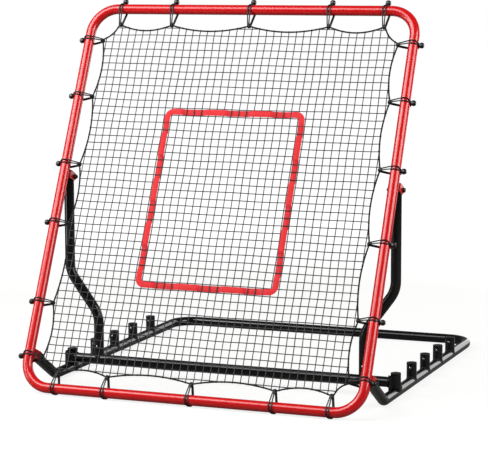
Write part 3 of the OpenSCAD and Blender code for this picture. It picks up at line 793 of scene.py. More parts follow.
@dataclass
class Netting:
    """The rebound net, its edge rope and the strike-zone tape.

    Places are in the leaning plane: across from its middle, and up the slope from its low tube.
    """

    plane: LeaningPlane
    mesh: float = 25
    twine_r: float = 1.55
    knot_r: float = 2.4
    hitch_r: float = 0.8
    uneven: float = 0.7
    uneven_fine: float = 0.6
    end_gap: float = 0.08
    rope_r: float = 2.5
    rope_sides: int = 14
    rope_step: float = 3
    rope_straight: float = 5
    rope_softening: int = 2
    scallop_points: int = 33
    side_x: float = 500
    top_v: float = 1218
    low_v: float = 50
    top_knots: tuple[float, ...] = (-448, -267, 0, 267, 448)
    low_knots: tuple[float, ...] = (-440, -271, 8, 276, 454)
    left_knots: tuple[float, ...] = (94, 272, 535, 734, 967, 1163)
    right_knots: tuple[float, ...] = (94, 280, 518, 752, 972, 1161)
    top_sag: float = 18
    low_sag: float = 15
    side_sag: float = 13
    corner_sag: float = 8
    zone_w: float = 452
    zone_h: float = 573
    zone_v: float = 350
    tape_w: float = 20
    tape_t: float = 1.2
    tape_r: float = 20
    tape_corner_points: int = 9
    tape_step: float = 4
    tape_edge: float = 0.45
    tape_clear: float = 0.1
    twine_squash: float = 0.8
    ribs_at: tuple[float, ...] = (0.8, 0.76, 0.7, 0.66)
    rib_depth: float = 0.72
    twines_covered: int = 3
    crossing: float = 5

    def knots(self) -> list[tuple[float, float]]:
        """Lists the knots on the edge rope, counter-clockwise from the lower left.

        Returns:
            The (x, v) of each.
        """
        return ([(x, self.low_v) for x in self.low_knots]
                + [(self.side_x, v) for v in self.right_knots]
                + [(x, self.top_v) for x in reversed(self.top_knots)]
                + [(-self.side_x, v) for v in reversed(self.left_knots)])

    def way(self, knot: tuple[float, float]) -> np.ndarray:
        """Says which way the rope runs through a knot.

        Args:
            knot: its (x, v).

        Returns:
            A unit step in (x, v).
        """
        if abs(knot[0]) == self.side_x:
            return np.array([0.0, math.copysign(1, knot[0])])
        return np.array([1.0 if knot[1] == self.low_v else -1.0, 0.0])

    def sag(self, a: tuple[float, float], b: tuple[float, float]) -> float:
        """Gives the depth of the scallop between two knots.

        Args:
            a: one knot's (x, v).
            b: the next knot's.

        Returns:
            How far the rope bows towards the net.
        """
        if a[0] == b[0]:
            return self.side_sag
        if a[1] != b[1]:
            return self.corner_sag
        return self.low_sag if a[1] == self.low_v else self.top_sag

    def outline(self) -> np.ndarray:
        """Lays the edge rope's middle in parabolas that bow towards the net.

        Returns:
            Rows of (x, v).
        """
        knots, rows = self.knots(), []
        for a, b in zip(knots, knots[1:] + knots[:1]):
            start = np.array(a) + self.way(a) * self.rope_straight
            end = np.array(b) - self.way(b) * self.rope_straight
            along = unit(end - start)
            # A parabola 4 t (1 - t) is one high at its middle.
            bow = np.array([-along[1], along[0]]) * 4 * self.sag(a, b)
            t = np.linspace(0, 1, self.scallop_points)[:, None]
            rows.append(start + (end - start) * t + bow * t * (1 - t))
        return smoothed(resampled(np.vstack(rows), self.rope_step), self.rope_softening)

    def wavy(self, flat: np.ndarray) -> np.ndarray:
        """Slow unevenness of the meshes.

        The wave lengths, in millimetres, share no common measure, so that nothing repeats.

        Args:
            flat: rows of (x, v).

        Returns:
            How far each row shifts in (x, v).
        """
        x, v = flat.T
        dx = np.sin(x / 61 + v / 47) + self.uneven_fine * np.sin(v / 29 - x / 83)
        dv = np.sin(v / 57 - x / 71 + 2) + self.uneven_fine * np.sin(x / 31 + v / 97)
        return np.stack([dx, dv], -1) * self.uneven

    @staticmethod
    def crossings(outline: np.ndarray, axis: int, value: float) -> list[float]:
        """Finds where the outline crosses a grid line.

        Args:
            outline: the edge rope's centre line.
            axis: 0 where the line holds x, 1 where it holds v.
            value: what it holds.

        Returns:
            Places along the other axis, in order.
        """
        a, b = outline, np.roll(outline, -1, 0)
        hit = (a[:, axis] - value) * (b[:, axis] - value) < 0
        t = (value - a[hit, axis]) / (b[hit, axis] - a[hit, axis])
        return sorted(a[hit, 1 - axis] + t * (b[hit, 1 - axis] - a[hit, 1 - axis]))

    def spacing(self, axis: int) -> tuple[float, float]:
        """Spaces the twines along an axis, so that the tape's middle lies between two of them.

        Args:
            axis: 0 for places across the net, 1 for places up it.

        Returns:
            The place of the first twine inside the strike zone, and the pitch.
        """
        inside = (self.zone_w if axis == 0 else self.zone_h) - self.mesh
        first = -inside / 2 if axis == 0 else self.zone_v + self.mesh / 2
        return first, inside / round(inside / self.mesh)

    def grid_lines(self, outline: np.ndarray) -> list[tuple[np.ndarray, list[Mark]]]:
        """Cuts every line of twine at the edge rope.

        Args:
            outline: the edge rope's centre line.

        Returns:
            Rows of (x, v) for each line, with a mark for each point.
        """
        lines = []
        spans = ((-self.side_x, self.side_x), (self.low_v, self.top_v))
        for axis, (low, high) in enumerate(spans):
            zero, pitch = self.spacing(axis)
            other_zero, other_pitch = self.spacing(1 - axis)
            inner = Mark.KNOT if axis == 0 else Mark.PLAIN
            for n in range(math.ceil((low - zero) / pitch), math.floor((high - zero) / pitch) + 1):
                value = zero + n * pitch
                cuts = self.crossings(outline, axis, value)
                for start, end in zip(cuts[::2], cuts[1::2]):
                    if end - start < pitch / 2:
                        continue
                    first = math.ceil((start - other_zero) / other_pitch + self.end_gap)
                    last = math.floor((end - other_zero) / other_pitch - self.end_gap)
                    knots = [other_zero + k * other_pitch for k in range(first, last + 1)]
                    stops = [start] + knots + [end]
                    marks = [Mark.HITCH] + [inner] * len(knots) + [Mark.HITCH]
                    rows = np.column_stack([np.full(len(stops), value), stops])
                    lines.append((rows if axis == 0 else rows[:, ::-1], marks))
        return lines

    def placed(self, flat: np.ndarray, off: float | np.ndarray = 0.0) -> np.ndarray:
        """Rows of (x, v) as world millimetres, on the sagging net or that far behind it."""
        return self.plane.world(np.column_stack([flat, self.plane.sagging(flat) + off]))

    def net(self) -> bpy.types.Object:
        """Builds the net from its twine lines.

        Returns:
            The net.
        """
        outline = self.outline()
        lines, marks, turns = [], [], []
        for straight, line_marks in self.grid_lines(outline):
            flat = straight + self.wavy(straight)
            flat[0], flat[-1] = straight[0], straight[-1]
            lines.append(self.placed(flat) * MM)
            marks += [mark.value for mark in line_marks]
            turns += [self.hitch_turn(outline, point) if mark is Mark.HITCH else self.knot_turn()
                      for point, mark in zip(flat, line_marks)]
        mesh = line_mesh("net_lines", lines)
        mesh.attributes.new("mark", "INT", "POINT").data.foreach_set("value", marks)
        set_turns(mesh, turns)
        values = {"Twine radius": self.twine_r * MM, "Knot radius": self.knot_r * MM,
                  "Hitch radius": (self.rope_r + self.hitch_r / 2) * MM,
                  "Hitch twine": self.hitch_r * MM, "Twine": PALETTE.get(NET_TWINE)}
        return grown(mesh, netting_tree(), values, "rebound_net")

    def knot_turn(self) -> tuple[float, float, float]:
        """Lays a knot flat in the net."""
        return turn_of(self.plane.way(1, 0, 0), self.plane.way(0, 1, 0))

    def hitch_turn(self, outline: np.ndarray, point: np.ndarray) -> tuple[float, float, float]:
        """Turns a hitch so that the rope runs through it.

        Args:
            outline: the edge rope's centre line.
            point: the hitch's (x, v).

        Returns:
            Euler angles.
        """
        near = int(np.argmin(np.linalg.norm(outline - point, axis=1)))
        along = outline[(near + 1) % len(outline)] - outline[near - 1]
        return turn_of(self.plane.way(0, 0, 1), self.plane.way(along[0], along[1], 0))

    def rope(self) -> bpy.types.Object:
        """Builds the edge rope as one closed braid.

        Returns:
            The rope.
        """
        shell = Shell()
        shell.sweep(self.placed(self.outline()), circle(self.rope_r, self.rope_sides), closed=True)
        return shell.build("edge_rope_braid", EDGE_ROPE)

    def zone(self) -> tuple[float, float, float]:
        """Half the strike zone's width, half its height and its middle up the slope."""
        return self.zone_w / 2, self.zone_h / 2, self.zone_v + self.zone_h / 2

    def tape_line(self) -> np.ndarray:
        """Lays the middle of the strike-zone tape, counter-clockwise.

        Returns:
            Rows of (x, v).
        """
        half_w, half_h, mid = self.zone()
        rows = []
        for sx, sv, start in ((1, -1, -90), (1, 1, 0), (-1, 1, 90), (-1, -1, 180)):
            centre = np.array([sx * (half_w - self.tape_r), mid + sv * (half_h - self.tape_r)])
            for angle in np.radians(np.linspace(start, start + 90, self.tape_corner_points)):
                rows.append(centre + self.tape_r * np.array([math.cos(angle), math.sin(angle)]))
        return resampled(np.array(rows), self.tape_step)

    def threaded(self, flat: np.ndarray) -> np.ndarray:
        """Threads the tape behind a few twines, then in front of as many, and flat at corners.

        Args:
            flat: rows of (x, v) along the tape.

        Returns:
            How far behind the net the tape lies at each row.
        """
        depth = self.twine_r * self.twine_squash + self.tape_t / 2 + self.tape_clear
        half_w, half_h, mid = self.zone()
        from_x, from_v = half_w - np.abs(flat[:, 0]), half_h - np.abs(flat[:, 1] - mid)
        upright = from_x < self.tape_r / 3
        behind = np.zeros(len(flat))
        for axis, run in ((0, ~upright), (1, upright)):
            zero, pitch = self.spacing(axis)
            turn = ((flat[:, axis] - zero) / pitch - self.twines_covered / 2) / self.twines_covered
            behind[run] = np.clip(self.crossing * np.sin(math.pi * turn)[run], -1, 1)
        from_corner = np.minimum(np.abs(from_x), np.abs(from_v)) + np.maximum(from_x, from_v)
        settle = np.clip((from_corner - self.mesh) / self.mesh, 0, 1)
        return depth * (behind * settle - (1 - settle))

    def tape(self) -> bpy.types.Object:
        """Builds the strike-zone tape, with a shallow rib along each edge of its face.

        Returns:
            The tape.
        """
        flat = self.tape_line()
        half, thick, edge = self.tape_w / 2, self.tape_t / 2, self.tape_edge
        left = [(edge - half, thick), (-half, thick - edge), (-half, edge - thick),
                (edge - half, -thick)]
        left += [(-half * at, -thick * level) for at, level in
                 zip(self.ribs_at, (1, self.rib_depth, self.rib_depth, 1))]
        profile = np.array(left + [(-x, y) for x, y in reversed(left)])
        shell = Shell()
        shell.sweep(self.placed(flat, self.threaded(flat)), profile, closed=True,
                    ups=np.tile(np.array(self.plane.way(0, 0, 1)), (len(flat), 1)))
        return shell.build("strike_zone_tape", WEBBING)

    def build(self) -> list[bpy.types.Object]:
        """Builds all three pieces.

        Returns:
            The pieces.
        """
        pieces = {"net_panel": self.net(), "edge_rope": self.rope(), "strike_tape": self.tape()}
        for node, piece in pieces.items():
            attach(piece, "net_frame")
            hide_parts(node)
        return list(pieces.values())


@dataclass
class Bungees:
    """The ball bungees that hold the net's edge rope to the frame, two strands each.

    A bungee's own axes start at the tube's middle: X towards the net, Y behind, Z along the tube.
    """

    plane: LeaningPlane
    netting: Netting
    cord_r: float = 2.0
    cord_sides: int = 10
    cord_step: float = 2.2
    cord_softening: int = 2
    arc_points: int = 20
    eye_points: int = 6
    tube_r: float = 16
    gap: float = 0.15
    eye: float = 4.5
    ball_r: float = 9.3
    ball_flat: float = 8.0
    ball_at: float = 26.1
    ball_sides: int = 24
    ball_rings: int = 19
    parting_line: float = 0.25
    parting_half: float = 0.2
    side_shift: float = 6
    end_shift: float = 5
    low_tilt: float = 32
    lean: tuple[float, float] = (1.0, 3.6)
    low_lean: tuple[float, float] = (-1.2, 1.2)
    side_lean: float = -0.4
    strand_stray: float = 0.5
    front_spread: float = 4.6
    rear_spread: float = 1.95
    knot_spread: float = 1.9
    spread_ease: float = 4
    ball_spread: float = 1.15
    ball_from: float = 10
    ball_ease: float = 8
    wrap_turns: float = 2.6
    wrap_pitch: float = 3.1
    wrap_r: float = 4.0
    wrap_width: float = 1.15
    wrap_cord_r: float = 1.7
    wrap_sides: int = 8
    wrap_points: int = 40
    wrap_from_eye: float = 4.2
    seed: int = 7

    @property
    def pass_r(self) -> float:
        """From the tube's middle to the middle of a cord that goes round it."""
        return self.tube_r + self.gap + self.cord_r

    def along(self, x: np.ndarray, y: np.ndarray, reach: float, shift: float,
              lean: float) -> np.ndarray:
        """Says how far along the tube the middle of a bungee's two strands lies.

        Args:
            x: from the tube's middle towards the net.
            y: behind the tube's middle.
            reach: from the tube's middle to the edge rope.
            shift: how far the front pass is shifted along the tube.
            lean: how far the ball sits along the tube from the knot.

        Returns:
            The distance along the tube, from the knot.
        """
        towards_ball = 1 - np.clip((x + self.pass_r) / (reach + self.pass_r), 0, 1)
        return lean * towards_ball - shift * y / self.pass_r

    def loop(self, reach: float, shift: float, strand: int, lean: float,
             ball: tuple[float, float]) -> np.ndarray:
        """Lays one strand's closed path, in the bungee's own axes.

        Args:
            reach: from the tube's middle to the edge rope.
            shift: how far the front pass is shifted along the tube, and the back one the other way.
            strand: which of the two strands, -1 or 1.
            lean: how far the ball sits along the tube from the knot.
            ball: the way from the tube's middle to the ball.

        Returns:
            Rows of points.
        """
        meet = math.acos((self.pass_r - self.eye) / reach)
        half = [(self.pass_r * math.cos(a), -self.pass_r * math.sin(a))
                for a in np.linspace(math.pi, meet, self.arc_points)]
        half += [(reach + self.eye * math.cos(a), -self.eye * math.sin(a))
                 for a in np.linspace(meet, 0, self.eye_points)]
        path = np.array(half + [(x, -y) for x, y in half[-2:0:-1]])
        x, y = path.T
        near_net = np.clip((x - self.spread_ease) / (reach - 2 * self.spread_ease), 0, 1)
        near_ball = np.clip((x * ball[0] + y * ball[1] - self.ball_from) / self.ball_ease, 0, 1)
        front = np.clip(-2 * y / self.pass_r, 0, 1)
        wide = self.rear_spread + (self.front_spread - self.rear_spread) * front
        wide = wide * (1 - near_net) + self.knot_spread * near_net
        wide = wide * (1 - near_ball) + self.rear_spread * self.ball_spread * near_ball
        z = strand * wide + self.along(x, y, reach, shift, lean)
        path = resampled(np.column_stack([path, z]), self.cord_step)
        return smoothed(path, self.cord_softening)

    def places(self) -> Iterable[tuple[Edge, float, float, float]]:
        """Goes through the bungees.

        Yields:
            Each one's edge, its place along it, its reach and the shift of its front pass.
        """
        net, plane = self.netting, self.plane
        low = (self.tube_r + self.cord_r) * math.tan(math.radians(self.low_tilt))
        for edge, places in ((Edge.LEFT, net.left_knots), (Edge.RIGHT, net.right_knots)):
            for place in places:
                shift = low if place == min(places) else self.side_shift
                yield edge, place, plane.side_x - net.side_x, shift
        for x in net.top_knots:
            yield Edge.TOP, x, plane.top_v - net.top_v, -self.end_shift
        for x in net.low_knots:
            yield Edge.BOTTOM, x, net.low_v, -self.end_shift

    def ball_mesh(self) -> Shell:
        """Turns a moulded ball with a parting line, pressed onto six worn flats.

        Returns:
            The ball.
        """
        profile = [(self.ball_r * math.cos(a), self.ball_r * math.sin(a))
                   for a in np.linspace(-math.pi / 2, math.pi / 2, self.ball_rings)]
        profile = [(r + (self.parting_line if abs(z) < self.parting_half else 0.0), z)
                   for r, z in profile]
        shell = Shell()
        shell.lathe(profile, lambda rows: np.clip(rows, -self.ball_flat, self.ball_flat),
                    self.ball_sides)
        return shell

    def wrap_mesh(self) -> Shell:
        """Winds the few turns of cord that bind a bungee's strands beside the edge rope.

        Returns:
            The winding.
        """
        angles = np.linspace(0, self.wrap_turns * math.tau, self.wrap_points)
        path = np.column_stack([self.wrap_r * self.wrap_width * np.cos(angles),
                                self.wrap_r * np.sin(angles),
                                self.wrap_pitch * angles / math.tau])
        shell = Shell()
        shell.sweep(path, circle(self.wrap_cord_r, self.wrap_sides))
        return shell

    @staticmethod
    def scattered(name: str, shell: Shell, points: list, turns: list,
                  finish: Finish) -> bpy.types.Object:
        """Repeats a small piece at many places.

        Args:
            name: the piece's name.
            shell: one of them, round the origin.
            points: where each stands, in millimetres.
            turns: how each is turned, as Euler angles.
            finish: its finish.

        Returns:
            All of them as one piece.
        """
        model = shell.build(name + "_model", finish)
        mesh = bpy.data.meshes.new(name)
        mesh.from_pydata([tuple(p * MM) for p in points], [], [])
        set_turns(mesh, turns)
        values = {"Piece": model, "Finish": PALETTE.get(finish)}
        piece = grown(mesh, scatter_tree(), values, name)
        bpy.data.objects.remove(model)
        return piece

    def build(self) -> list[bpy.types.Object]:
        """Builds the cords of each side, the balls and the wraps.

        Returns:
            The pieces.
        """
        draw = random.Random(self.seed)
        shells = {edge: Shell() for edge in Edge}
        ball_points, ball_turns, wrap_points, wrap_turns = [], [], [], []
        for edge, place, reach, shift in self.places():
            lean = draw.uniform(*(self.low_lean if shift > self.side_shift else self.lean))
            if edge in (Edge.LEFT, Edge.RIGHT):
                lean *= self.side_lean
            ball = (0.0, 1.0) if edge is Edge.BOTTOM else (-1.0, 0.0)
            for strand in (-1, 1):
                stray = draw.uniform(-self.strand_stray, self.strand_stray)
                path = self.loop(reach, shift + stray, strand, lean, ball)
                rows = self.plane.world(self.plane.round_tube(edge, place, path))
                shells[edge].sweep(rows, circle(self.cord_r, self.cord_sides), closed=True)
            out_x, out_y = np.array(ball) * self.ball_at
            cord_y = out_y * (self.tube_r + self.cord_r) / self.ball_at
            held = float(self.along(out_x, cord_y, reach, shift, lean))
            marks = np.array([[out_x, out_y, held],
                              [reach - self.eye - self.wrap_from_eye, 0.0, 0.0],
                              [0.0, 0.0, 0.0], [1.0, 0.0, 0.0], [0.0, 1.0, 0.0]])
            world = self.plane.world(self.plane.round_tube(edge, place, marks))
            ball_points.append(world[0])
            wrap_points.append(world[1])
            x_axis, y_axis = (Vector(point - world[2]).normalized() for point in world[3:])
            ball_turns.append(turn_of(x_axis, x_axis.cross(y_axis)))
            wrap_turns.append(turn_of(y_axis, x_axis))
        pieces = []
        for edge, shell in shells.items():
            pieces.append(shell.build(f"shock_cords_{edge.value}", SHOCK_CORD))
            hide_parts(f"bungees_{edge.value}")
        pieces.append(self.scattered("bungee_ball_set", self.ball_mesh(), ball_points, ball_turns,
                                     BALL_PLASTIC))
        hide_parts("bungee_balls")
        pieces.append(self.scattered("bungee_wraps", self.wrap_mesh(), wrap_points, wrap_turns,
                                     SHOCK_CORD))
        for piece in pieces:
            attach(piece, "net_frame")
        return pieces


# ---- steel parts ----


@dataclass
class Welds:
    """Weld beads where pegs, hooks and ears meet their tubes."""

    plane: LeaningPlane
    tube_r: float = 16
    bead_r: float = 1.5
    ripple: float = 2.4
    steps_in_ripple: int = 5
    bead_sink: float = 0.6
    peg_gap: float = 0.35
    peg_arc: tuple[float, float] = (14, 166)
    peg_points: int = 30
    ear_half: float = 13
    ear_gap: float = 1.2
    ear_end_gap: float = 0.5
    ear_edge_points: int = 12
    ear_end_points: int = 16
    saddle_back: float = 9
    ear_places: tuple[float, float] = (108, 704)
    hook_gap: float = 0.4
    hook_points: int = 50

    def bead(self, name: str, lines: list[np.ndarray], finish: Finish,
             body: str) -> bpy.types.Object:
        """Runs beads along lines.

        Args:
            name: the piece's name.
            lines: rows of points in world millimetres, one array for each bead.
            finish: its finish.
            body: the body that it rides on.

        Returns:
            The beads as one piece.
        """
        mesh = line_mesh(name, [line * MM for line in lines])
        values = {"Bead radius": self.bead_r * MM, "Ripple": self.ripple * MM,
                  "Step": self.ripple / self.steps_in_ripple * MM, "Coat": PALETTE.get(finish)}
        piece = grown(mesh, bead_tree(), values, name)
        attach(piece, body)
        return piece

    @staticmethod
    def peg_places(side: str, tube_r: float = 16, pitch: float = 150) -> list[float]:
        """The middle of each peg along its rail: the first one stands apart from four even ones.

        Args:
            side: left or right.
            tube_r: a peg's radius.
            pitch: from each of the even pegs to the next.

        Returns:
            Places along Y, from the front.
        """
        low, high = box_mm(f"pegs_{side}")
        last = high[1] - tube_r
        return [low[1] + tube_r] + [last - n * pitch for n in (3, 2, 1, 0)]

    def peg_lines(self) -> list[np.ndarray]:
        """Lays two arches round each peg's foot.

        Returns:
            Rows of points for each arch.
        """
        lines = []
        for side in ("left", "right"):
            (low, high), (rail_low, rail_high) = box_mm(f"pegs_{side}"), box_mm(f"rail_{side}")
            mid_x, rail_z = (low[0] + high[0]) / 2, (rail_low[2] + rail_high[2]) / 2
            for y in self.peg_places(side):
                for turn in (0, math.pi):
                    angles = np.radians(np.linspace(*self.peg_arc, self.peg_points)) + turn
                    r = self.tube_r + self.peg_gap
                    top = rail_z + self.tube_r * np.abs(np.sin(angles)) + self.bead_sink
                    lines.append(np.column_stack([mid_x + r * np.cos(angles),
                                                  y + r * np.sin(angles), top]))
        return lines

    def ear_lines(self) -> list[np.ndarray]:
        """Lays beads down both long edges of each ear's saddle and across its ends.

        Returns:
            Rows of points for each bead.
        """
        lines = []
        rim = math.asin(self.saddle_back / self.tube_r)
        angles = np.linspace(rim, math.pi - rim, self.ear_end_points)
        edge, end = np.ones(self.ear_edge_points), np.ones(self.ear_end_points)
        r = self.tube_r + self.ear_end_gap
        for x in (-self.plane.side_x, self.plane.side_x):
            for v in self.ear_places:
                for way in (-1, 1):
                    up = np.linspace(v - self.ear_half, v + self.ear_half, self.ear_edge_points)
                    rows = np.column_stack([edge * (x + way * (self.tube_r + self.ear_gap)), up,
                                            edge * (self.saddle_back - self.bead_sink)])
                    lines.append(self.plane.world(rows))
                    rows = np.column_stack([x + r * np.cos(angles),
                                            end * (v + way * (self.ear_half + self.ear_end_gap)),
                                            r * np.sin(angles)])
                    lines.append(self.plane.world(rows))
        return lines

    def hook_lines(self) -> list[np.ndarray]:
        """Lays a ring where the cross bar meets each hook.

        Returns:
            Rows of points for each ring.
        """
        low, high = box_mm("cross_bar")
        bar_y, bar_z = (low[1] + high[1]) / 2, low[2] + self.tube_r
        angles = np.linspace(0, math.tau, self.hook_points)
        r = self.tube_r + self.hook_gap
        faces = (box_mm("hook_left")[1][0] + self.bead_sink,
                 box_mm("hook_right")[0][0] - self.bead_sink)
        return [np.column_stack([np.full(self.hook_points, x), bar_y + r * np.cos(angles),
                                 bar_z + r * np.sin(angles)]) for x in faces]

    def build(self) -> list[bpy.types.Object]:
        """Builds the beads of each body."""
        return [self.bead("peg_welds", self.peg_lines(), BLACK_WELD, "base"),
                self.bead("ear_welds", self.ear_lines(), RED_WELD, "net_frame"),
                self.bead("hook_welds", self.hook_lines(), BLACK_WELD, "prop")]


@dataclass
class Caps:
    """The moulded caps that close the pegs."""

    tube_r: float = 16
    plug_r: float = 14.6
    plug_h: float = 4
    plug_bevel: float = 0.6
    lip: float = 0.3
    rim: float = 0.9
    rim_angles: tuple[float, ...] = (20, 45, 70, 90)
    dish: tuple[tuple[float, float], ...] = ((2.6, 0), (3.1, 0.25), (3.6, 0.6), (4.6, 0.7))
    dish_middle_r: float = 4
    sides: int = 40

    def profile(self, height: float) -> list[tuple[float, float]]:
        """Draws a cap's section, with a rounded rim and a shallow dish.

        Args:
            height: how far the cap stands above the peg's end.

        Returns:
            Points of (radius, height) from the plug's foot to the dish's middle.
        """
        r, rim, bevel = self.tube_r, self.rim, self.plug_bevel
        points = [(0, -self.plug_h), (self.plug_r - bevel, -self.plug_h),
                  (self.plug_r, bevel - self.plug_h), (self.plug_r, 0), (r - self.lip, 0),
                  (r, self.lip), (r, height - rim)]
        points += [(r - rim + rim * math.cos(a), height - rim + rim * math.sin(a))
                   for a in np.radians(self.rim_angles)]
        points += [(r - inward, height - down) for inward, down in self.dish]
        floor = height - self.dish[-1][1]
        return points + [(self.dish_middle_r, floor), (0, floor)]

    def build(self) -> bpy.types.Object:
        """Builds the caps of all ten pegs.

        Returns:
            The caps as one piece.
        """
        shell = Shell()
        low, high = box_mm("peg_caps")
        height = high[2] - low[2] - self.plug_h
        for side in ("left", "right"):
            peg_low, peg_high = box_mm(f"pegs_{side}")
            for y in Welds.peg_places(side):
                middle = np.array([(peg_low[0] + peg_high[0]) / 2, y, high[2] - height])
                shell.lathe(self.profile(height), lambda rows, middle=middle: rows + middle,
                            self.sides)
        piece = shell.build("peg_cap_set", CAP_PLASTIC)
        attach(piece, "base")
        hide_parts("peg_caps")
        return piece


@dataclass(frozen=True)
class SteelDress:
    """Which finish each CAD node takes, by how its name starts: the first that fits holds."""

    finishes: tuple[tuple[Finish, tuple[str, ...]], ...] = (
        (RED_ENAMEL, ("corner_", "top_tube", "bottom_tube", "ears_")),
        (BLACK_OXIDE, ("pivot_", "rail_button")),
        (ZINC_STEEL, ("arm_button", "peg_button")),
        (SPRING_STEEL, ("arm_leaf", "peg_leaf", "rail_leaf")),
        (CAP_PLASTIC, ("peg_caps",)),
        (BLACK_ENAMEL, ("arm_", "cross_bar", "hook_", "leg_", "rail_", "rear_", "pegs_")),
        (NET_TWINE, ("net_panel",)),
        (EDGE_ROPE, ("edge_rope",)),
        (WEBBING, ("strike_tape",)),
        (BALL_PLASTIC, ("bungee_balls",)),
        (SHOCK_CORD, ("bungees_",)),
    )

    def dress(self) -> int:
        """Gives every CAD node its finish.

        Returns:
            How many nodes were dressed.
        """
        for name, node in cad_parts.items():
            material = PALETTE.get(next(f for f, starts in self.finishes
                                        if name.startswith(starts)))
            for slot in node.material_slots:
                slot.material = material
            if not node.material_slots:
                node.data.materials.append(material)
        return len(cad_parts)


# ---- studio ----


@dataclass(frozen=True)
class Softbox:
    """A white rectangular studio lamp, in metres and watts."""

    name: str
    place: tuple[float, float, float]
    aim: tuple[float, float, float]
    size: tuple[float, float]
    power: float

    def build(self) -> None:
        """Hangs the lamp and aims it."""
        lamp = bpy.data.lights.new(self.name, "AREA")
        lamp.shape = "RECTANGLE"
        lamp.size, lamp.size_y = self.size
        lamp.energy = self.power
        holder = bpy.data.objects.new(self.name, lamp)
        holder.visible_camera = False
        bpy.context.scene.collection.objects.link(holder)
        way = Vector(self.aim) - Vector(self.place)
        turn = way.to_track_quat("-Z", "Y").to_matrix().to_4x4()
        holder.matrix_world = Matrix.Translation(self.place) @ turn


@dataclass(frozen=True)
class Viewpoint:
    """The camera: where it stands in metres, which way it looks in degrees, and its lens."""

    place: tuple[float, float, float] = (2.23218, -5.82112, 1.3079)
    yaw: float = -21.4387
    pitch: float = 7.6267
    roll: float = -0.1313
    lens: float = 142.24
    sensor: float = 36.0
    reach: float = 60

    def build(self) -> None:
        """Sets up the scene's camera."""
        yaw, pitch, roll = (math.radians(v) for v in (self.yaw, self.pitch, self.roll))
        ahead = Vector((math.sin(yaw) * math.cos(pitch), math.cos(yaw) * math.cos(pitch),
                        -math.sin(pitch)))
        level = Vector((math.cos(yaw), -math.sin(yaw), 0))
        above = level.cross(ahead)
        right = level * math.cos(roll) + above * math.sin(roll)
        up = above * math.cos(roll) - level * math.sin(roll)
        data = bpy.data.cameras.new("camera")
        data.sensor_fit = "HORIZONTAL"
        data.sensor_width = self.sensor
        data.lens = self.lens
        data.clip_end = self.reach
        camera = bpy.data.objects.new("camera", data)
        bpy.context.scene.collection.objects.link(camera)
        turn = Matrix((right, up, -ahead)).transposed().to_4x4()
        camera.matrix_world = Matrix.Translation(self.place) @ turn
        bpy.context.scene.camera = camera


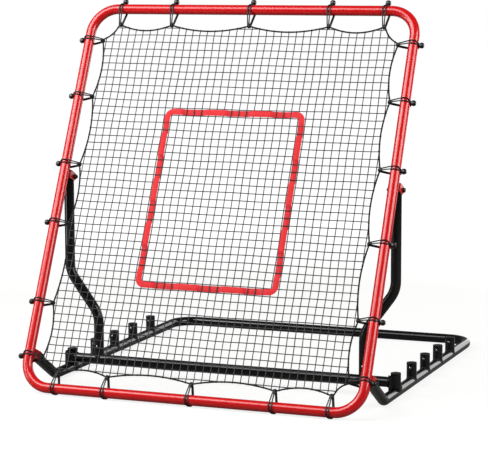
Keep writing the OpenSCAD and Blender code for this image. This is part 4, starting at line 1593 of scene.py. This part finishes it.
@dataclass(frozen=True)
class Studio:
    """Pale floor, world and softboxes."""

    floor_half: float = 14.0
    floor_colour: str = "#7e7e7b"
    floor_roughness: float = 0.85
    floor_glow: float = 0.82
    fade_from: float = 1.7
    fade_to: float = 3.4
    world_colour: str = "#ffffff"
    world_strength: float = 0.1
    lamps: tuple[Softbox, ...] = (
        Softbox("softbox_left", (-3.3, -2.2, 3.0), (0, 0, 0.6), (2.4, 2.6), 92),
        Softbox("softbox_right", (4.1, -0.9, 2.4), (0, 0, 0.6), (2.8, 2.6), 126),
        Softbox("softbox_over", (-1.6, -2.6, 3.7), (0, 0, 0.7), (3.0, 2.2), 96),
        Softbox("softbox_low", (-2.3, -1.5, 0.7), (-0.4, -0.25, 0.6), (0.5, 1.3), 10),
        Softbox("softbox_back", (1.7, 4.4, 1.1), (0.9, 0, 0.9), (3.4, 2.0), 40),
    )

    def floor(self) -> None:
        """Lays a plain floor that is pale to the camera, keeps the shadow and fades to white."""
        half = self.floor_half
        mesh = bpy.data.meshes.new("studio_floor")
        mesh.from_pydata([(-half, -half, 0), (half, -half, 0), (half, half, 0), (-half, half, 0)],
                         [], [(0, 1, 2, 3)])
        material = bpy.data.materials.new("matt_white_floor")
        material.use_nodes = True
        tree = material.node_tree
        shader = tree.nodes["Principled BSDF"]
        shader.inputs["Base Color"].default_value = linear(self.floor_colour)
        shader.inputs["Roughness"].default_value = self.floor_roughness
        shader.inputs["Emission Color"].default_value = linear(self.world_colour)
        seen = add(tree, "ShaderNodeLightPath").outputs["Is Camera Ray"]
        place = add(tree, "ShaderNodeTexCoord").outputs["Object"]
        away = add(tree, "ShaderNodeVectorMath", (place,), operation="LENGTH").outputs["Value"]
        fade = add(tree, "ShaderNodeMapRange", {"Value": away, "From Min": self.fade_from,
                                                "From Max": self.fade_to,
                                                "To Min": self.floor_glow, "To Max": 1.0})
        glow = add(tree, MATH, (seen, fade), operation="MULTIPLY").outputs[0]
        tree.links.new(glow, shader.inputs["Emission Strength"])
        mesh.materials.append(material)
        floor = bpy.data.objects.new("studio_floor", mesh)
        bpy.context.scene.collection.objects.link(floor)

    def world(self) -> None:
        """Sets an even dim world that the camera sees as white."""
        world = bpy.data.worlds.new("studio_world")
        bpy.context.scene.world = world
        world.use_nodes = True
        tree = world.node_tree
        tree.nodes.clear()
        seen = add(tree, "ShaderNodeLightPath").outputs["Is Camera Ray"]
        strength = add(tree, MATH, (seen, 1 - self.world_strength, self.world_strength),
                       operation="MULTIPLY_ADD")
        background = add(tree, "ShaderNodeBackground", {"Color": linear(self.world_colour),
                                                        "Strength": strength})
        add(tree, "ShaderNodeOutputWorld", {"Surface": background})

    def build(self) -> None:
        """Sets up everything that isn't the object."""
        bpy.context.scene.view_settings.view_transform = "Standard"
        self.floor()
        self.world()
        for lamp in self.lamps:
            lamp.build()
        Viewpoint().build()


def main() -> None:
    """Builds each sub-assembly in order and reports it."""
    logging.basicConfig(level=logging.INFO, format="%(name)s: %(message)s")
    Studio().build()
    LOG.info("dressed %d steel and plastic nodes", SteelDress().dress())
    plane = LeaningPlane()
    netting = Netting(plane)
    pieces = netting.build() + Bungees(plane, netting).build() + Welds(plane).build()
    pieces.append(Caps().build())
    for piece in pieces:
        LOG.info("%s: %d faces", piece.name, len(piece.data.polygons))
    bpy.context.view_layer.update()


if __name__ == "__main__":
    main()
